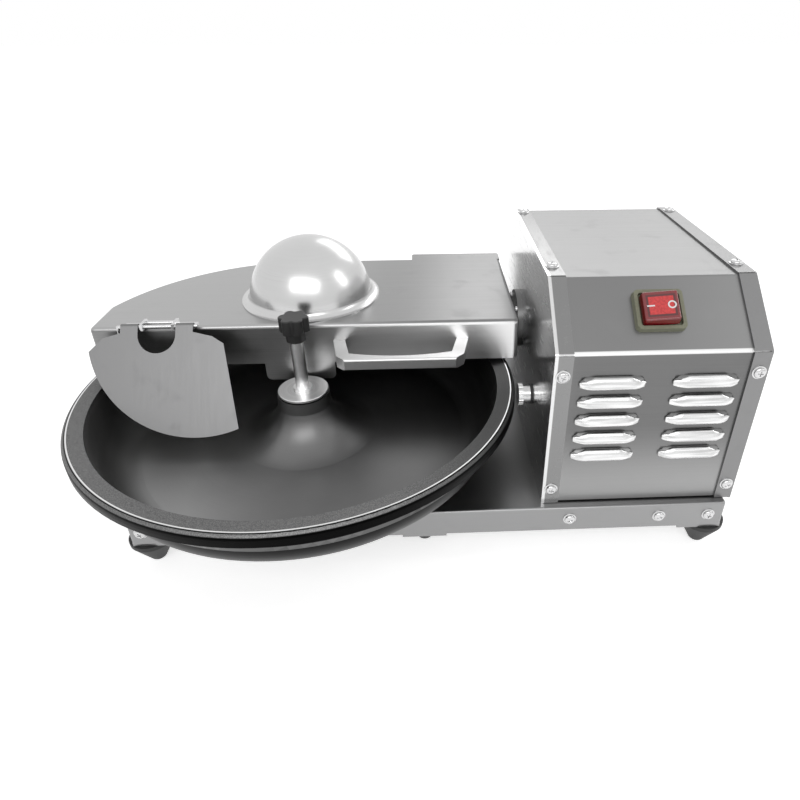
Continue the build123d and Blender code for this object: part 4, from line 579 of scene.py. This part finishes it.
def repeat(name, template, spots, finish, roll=0.0, seed=3):
    # one plain mesh of the template set on every spot, its +Z along the spot's facing
    bm = bmesh.new()
    facing = bm.verts.layers.float_vector.new("facing")
    for place, way in spots:
        bm.verts.new(place)[facing] = way
    piece = addMesh(name, bm)
    group = bpy.data.node_groups.new(name + "Repeat", "GeometryNodeTree")
    face = group.interface.new_socket
    face(name="Spots", in_out="INPUT", socket_type="NodeSocketGeometry")
    wanted = {"Template": ("NodeSocketObject", template), "Finish": ("NodeSocketMaterial", finish.material),
              "Roll": ("NodeSocketFloat", roll), "Seed": ("NodeSocketInt", seed)}
    keys = {k: face(name=k, in_out="INPUT", socket_type=kind).identifier for k, (kind, _) in wanted.items()}
    face(name="Pieces", in_out="OUTPUT", socket_type="NodeSocketGeometry")
    g = Tree(group)
    given = g.make("NodeGroupInput").outputs
    way = g.make("GeometryNodeInputNamedAttribute", {"data_type": "FLOAT_VECTOR"}, {"Name": "facing"})
    stand = g.make("FunctionNodeAlignRotationToVector", {"axis": "Z"}, {"Vector": way.outputs[0]})
    chance = g.make("FunctionNodeRandomValue", {"data_type": "FLOAT"},
                    {3: given["Roll"], "Seed": given["Seed"]})
    spin = g.make("FunctionNodeAxisAngleToRotation", None, {"Angle": chance.outputs[1]})
    turn = g.make("FunctionNodeRotateRotation", {"rotation_space": "LOCAL"},
                  {"Rotation": stand.outputs[0], "Rotate By": spin.outputs[0]})
    shape = g.make("GeometryNodeObjectInfo", None, {"Object": given["Template"]}).outputs["Geometry"]
    put = g.make("GeometryNodeInstanceOnPoints", None,
                 {"Points": given["Spots"], "Instance": shape, "Rotation": turn.outputs[0]})
    solid = g.make("GeometryNodeRealizeInstances", None, {"Geometry": put.outputs[0]})
    coat = g.make("GeometryNodeSetMaterial", None,
                  {"Geometry": solid.outputs[0], "Material": given["Finish"]})
    g.make("NodeGroupOutput", None, {"Pieces": coat.outputs[0]})
    fill = piece.modifiers.new("repeat", "NODES")
    fill.node_group = group
    for k, (_, value) in wanted.items():
        fill[keys[k]] = value
    mesh = evaluated(piece)
    piece.modifiers.clear()
    piece.data = mesh
    return piece


def spun(name, outline, steps=40, crease=0.6):  # lathe form from (radius, height) pairs in millimetres
    bm = bmesh.new()
    verts = [bm.verts.new((r / 1000, 0, z / 1000)) for r, z in outline]
    edges = [bm.edges.new(pair) for pair in zip(verts, verts[1:])]
    bmesh.ops.spin(bm, geom=verts + edges, cent=(0, 0, 0), axis=(0, 0, 1), angle=2 * math.pi, steps=steps)
    bmesh.ops.remove_doubles(bm, verts=bm.verts, dist=1e-6)
    bmesh.ops.recalc_face_normals(bm, faces=bm.faces)
    for f in bm.faces:
        f.smooth = True
    for e in bm.edges:
        if e.is_manifold and e.calc_face_angle() > crease:
            e.smooth = False
    return addMesh(name, bm)


screw = {"washer": 6.8, "washerHeight": 1.0, "head": 5.5, "headHeight": 3.0,
         "cross": 5.4, "slit": 1.2, "depth": 1.5,
         # places: in from the flange's edge, up and down on it, along the top, and on the base
         "flangeIn": 8.7, "flangeUp": 19.6, "flangeDown": 21.8, "backDown": 30.0, "topY": (-10.7, 175.5),
         "baseX": (-158.6, 279.0, 373.0, 425.4), "baseDown": 14.5}


def makeScrew(s):
    w, h, top = s["washerHeight"], s["head"], s["washerHeight"] + s["headHeight"]
    outline = [(0, -0.4), (s["washer"], -0.4), (s["washer"], w - 0.2), (s["washer"] - 0.3, w), (h + 0.4, w),
               (h, w + 0.1), (h, top - 1.9), (h * 0.93, top - 1.1), (h * 0.76, top - 0.5),
               (h * 0.5, top - 0.15), (0, top)]
    form = spun("screwForm", outline)
    cutters = []
    for turn in (0, math.pi / 2):
        bm = bmesh.new()
        bmesh.ops.create_cube(bm, size=1)
        bmesh.ops.scale(bm, vec=(s["cross"] / 1000, s["slit"] / 1000, s["depth"] / 500), verts=bm.verts)
        place = Matrix.Translation((0, 0, top / 1000)) @ Matrix.Rotation(turn, 4, "Z")
        bmesh.ops.transform(bm, matrix=place, verts=bm.verts)
        cutter = addMesh("screwCutter", bm)
        cut = form.modifiers.new("cross", "BOOLEAN")
        cut.operation, cut.solver, cut.object = "DIFFERENCE", "EXACT", cutter
        cutters.append(cutter)
    mesh = evaluated(form)
    form.modifiers.clear()
    form.data = mesh
    for cutter in cutters:
        bpy.data.objects.remove(cutter)
    return form


def screwSpots(m, s):
    spots = []
    front, back, top = (0, -1, 0), (0, 1, 0), (0, 0, 1)
    low, high = m["baseTop"] + s["flangeUp"], m["frontTop"] - s["flangeDown"]
    for x in (m["housingX"] + s["flangeIn"], m["housingRight"] - s["flangeIn"]):
        spots += [(at(x, m["housingFront"], z), front) for z in (low, high)]
        spots += [(at(x, y, m["housingTop"]), top) for y in s["topY"]]
        spots += [(at(x, m["housingBack"], z), back) for z in (low, high - s["backDown"])]
    for x in s["baseX"]:
        spots += [(at(x, m["housingFront"] - m["baseStep"], m["baseTop"] - s["baseDown"]), front),
                  (at(x, m["housingBack"] + m["baseStep"], m["baseTop"] - s["baseDown"]), back)]
    return spots


screwForm = makeScrew(screw)
screwSteel = brushedSteel("screwZinc", 0.62, (300, 300, 300), 0.2)
screws = repeat("panelScrews", screwForm, screwSpots(machine, screw), screwSteel, roll=1.5)
bpy.data.objects.remove(screwForm)
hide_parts("housing_screws", "base_screws")
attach(screws, "frame")
print("screws set:", len(screws.data.polygons))

hood = {"width": 62.0, "height": 10.6, "out": 5.3, "end": 13.5, "endHigh": 0.45, "lip": 1.1,
        "sink": 0.3, "columns": 56, "arcs": 9, "top": 208.6, "pitch": 20.6, "rows": 5, "side": 44.0}


def hoodForm(h):  # X along the slot, Y up the panel, Z outwards
    bm = bmesh.new()
    half, columns, arcs, sink = h["width"] / 2, h["columns"], h["arcs"], h["sink"]
    grid = []
    for i in range(columns + 1):
        x = half * math.sin(math.pi * (i / columns - 0.5))
        run = min(1.0, (half - abs(x)) / h["end"])
        out = h["out"] * math.sin(math.pi / 2 * run) ** 0.8 - 0.2
        high = h["height"] * (h["endHigh"] + (1 - h["endHigh"]) * run)
        column = [(0.7, max(out - h["lip"] - 0.4, -sink)), (0.0, max(out - h["lip"], -sink)),
                  (-0.15, out - 0.35), (0.0, out)]
        for k in range(1, arcs + 1):
            a = math.pi / 2 * k / arcs
            column.append((high * math.sin(a), (out + sink) * math.cos(a) - sink))
        grid.append([bm.verts.new((x / 1000, up / 1000, z / 1000)) for up, z in column])
    for a, b in zip(grid, grid[1:]):
        for k in range(len(a) - 1):
            bm.faces.new((a[k], b[k], b[k + 1], a[k + 1])).smooth = True
    return addMesh("hoodForm", bm)


def hoodHighlightSteel():
    # painted highlight: the louvre hoods far brighter than the wrap steel they are pressed from
    f = Finish("hoodHighlightSteel", **{"Metallic": 1.0})
    streaks = f.noise(f.about((0, 0, 0), (22, 260, 420)), 1.0, 2)
    f.feed("Base Color", f.mix(streaks.step(0.3, 0.72), grey(0.58), grey(0.86)))
    f.feed("Roughness", 0.2 + streaks * 0.12)
    f.bump(streaks, 0.05, 0.0005)
    return f


hoodMould = hoodForm(hood)
hoodSpots = [(at(machine["housingMiddle"] + side * hood["side"], machine["housingFront"],
                 hood["top"] - row * hood["pitch"]), (0, -1, 0))
             for side in (-1, 1) for row in range(hood["rows"])]
hoods = repeat("louvreHoods", hoodMould, hoodSpots, hoodHighlightSteel())
bpy.data.objects.remove(hoodMould)
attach(hoods, "frame")
print("louvre hoods fitted:", len(hoods.data.polygons))
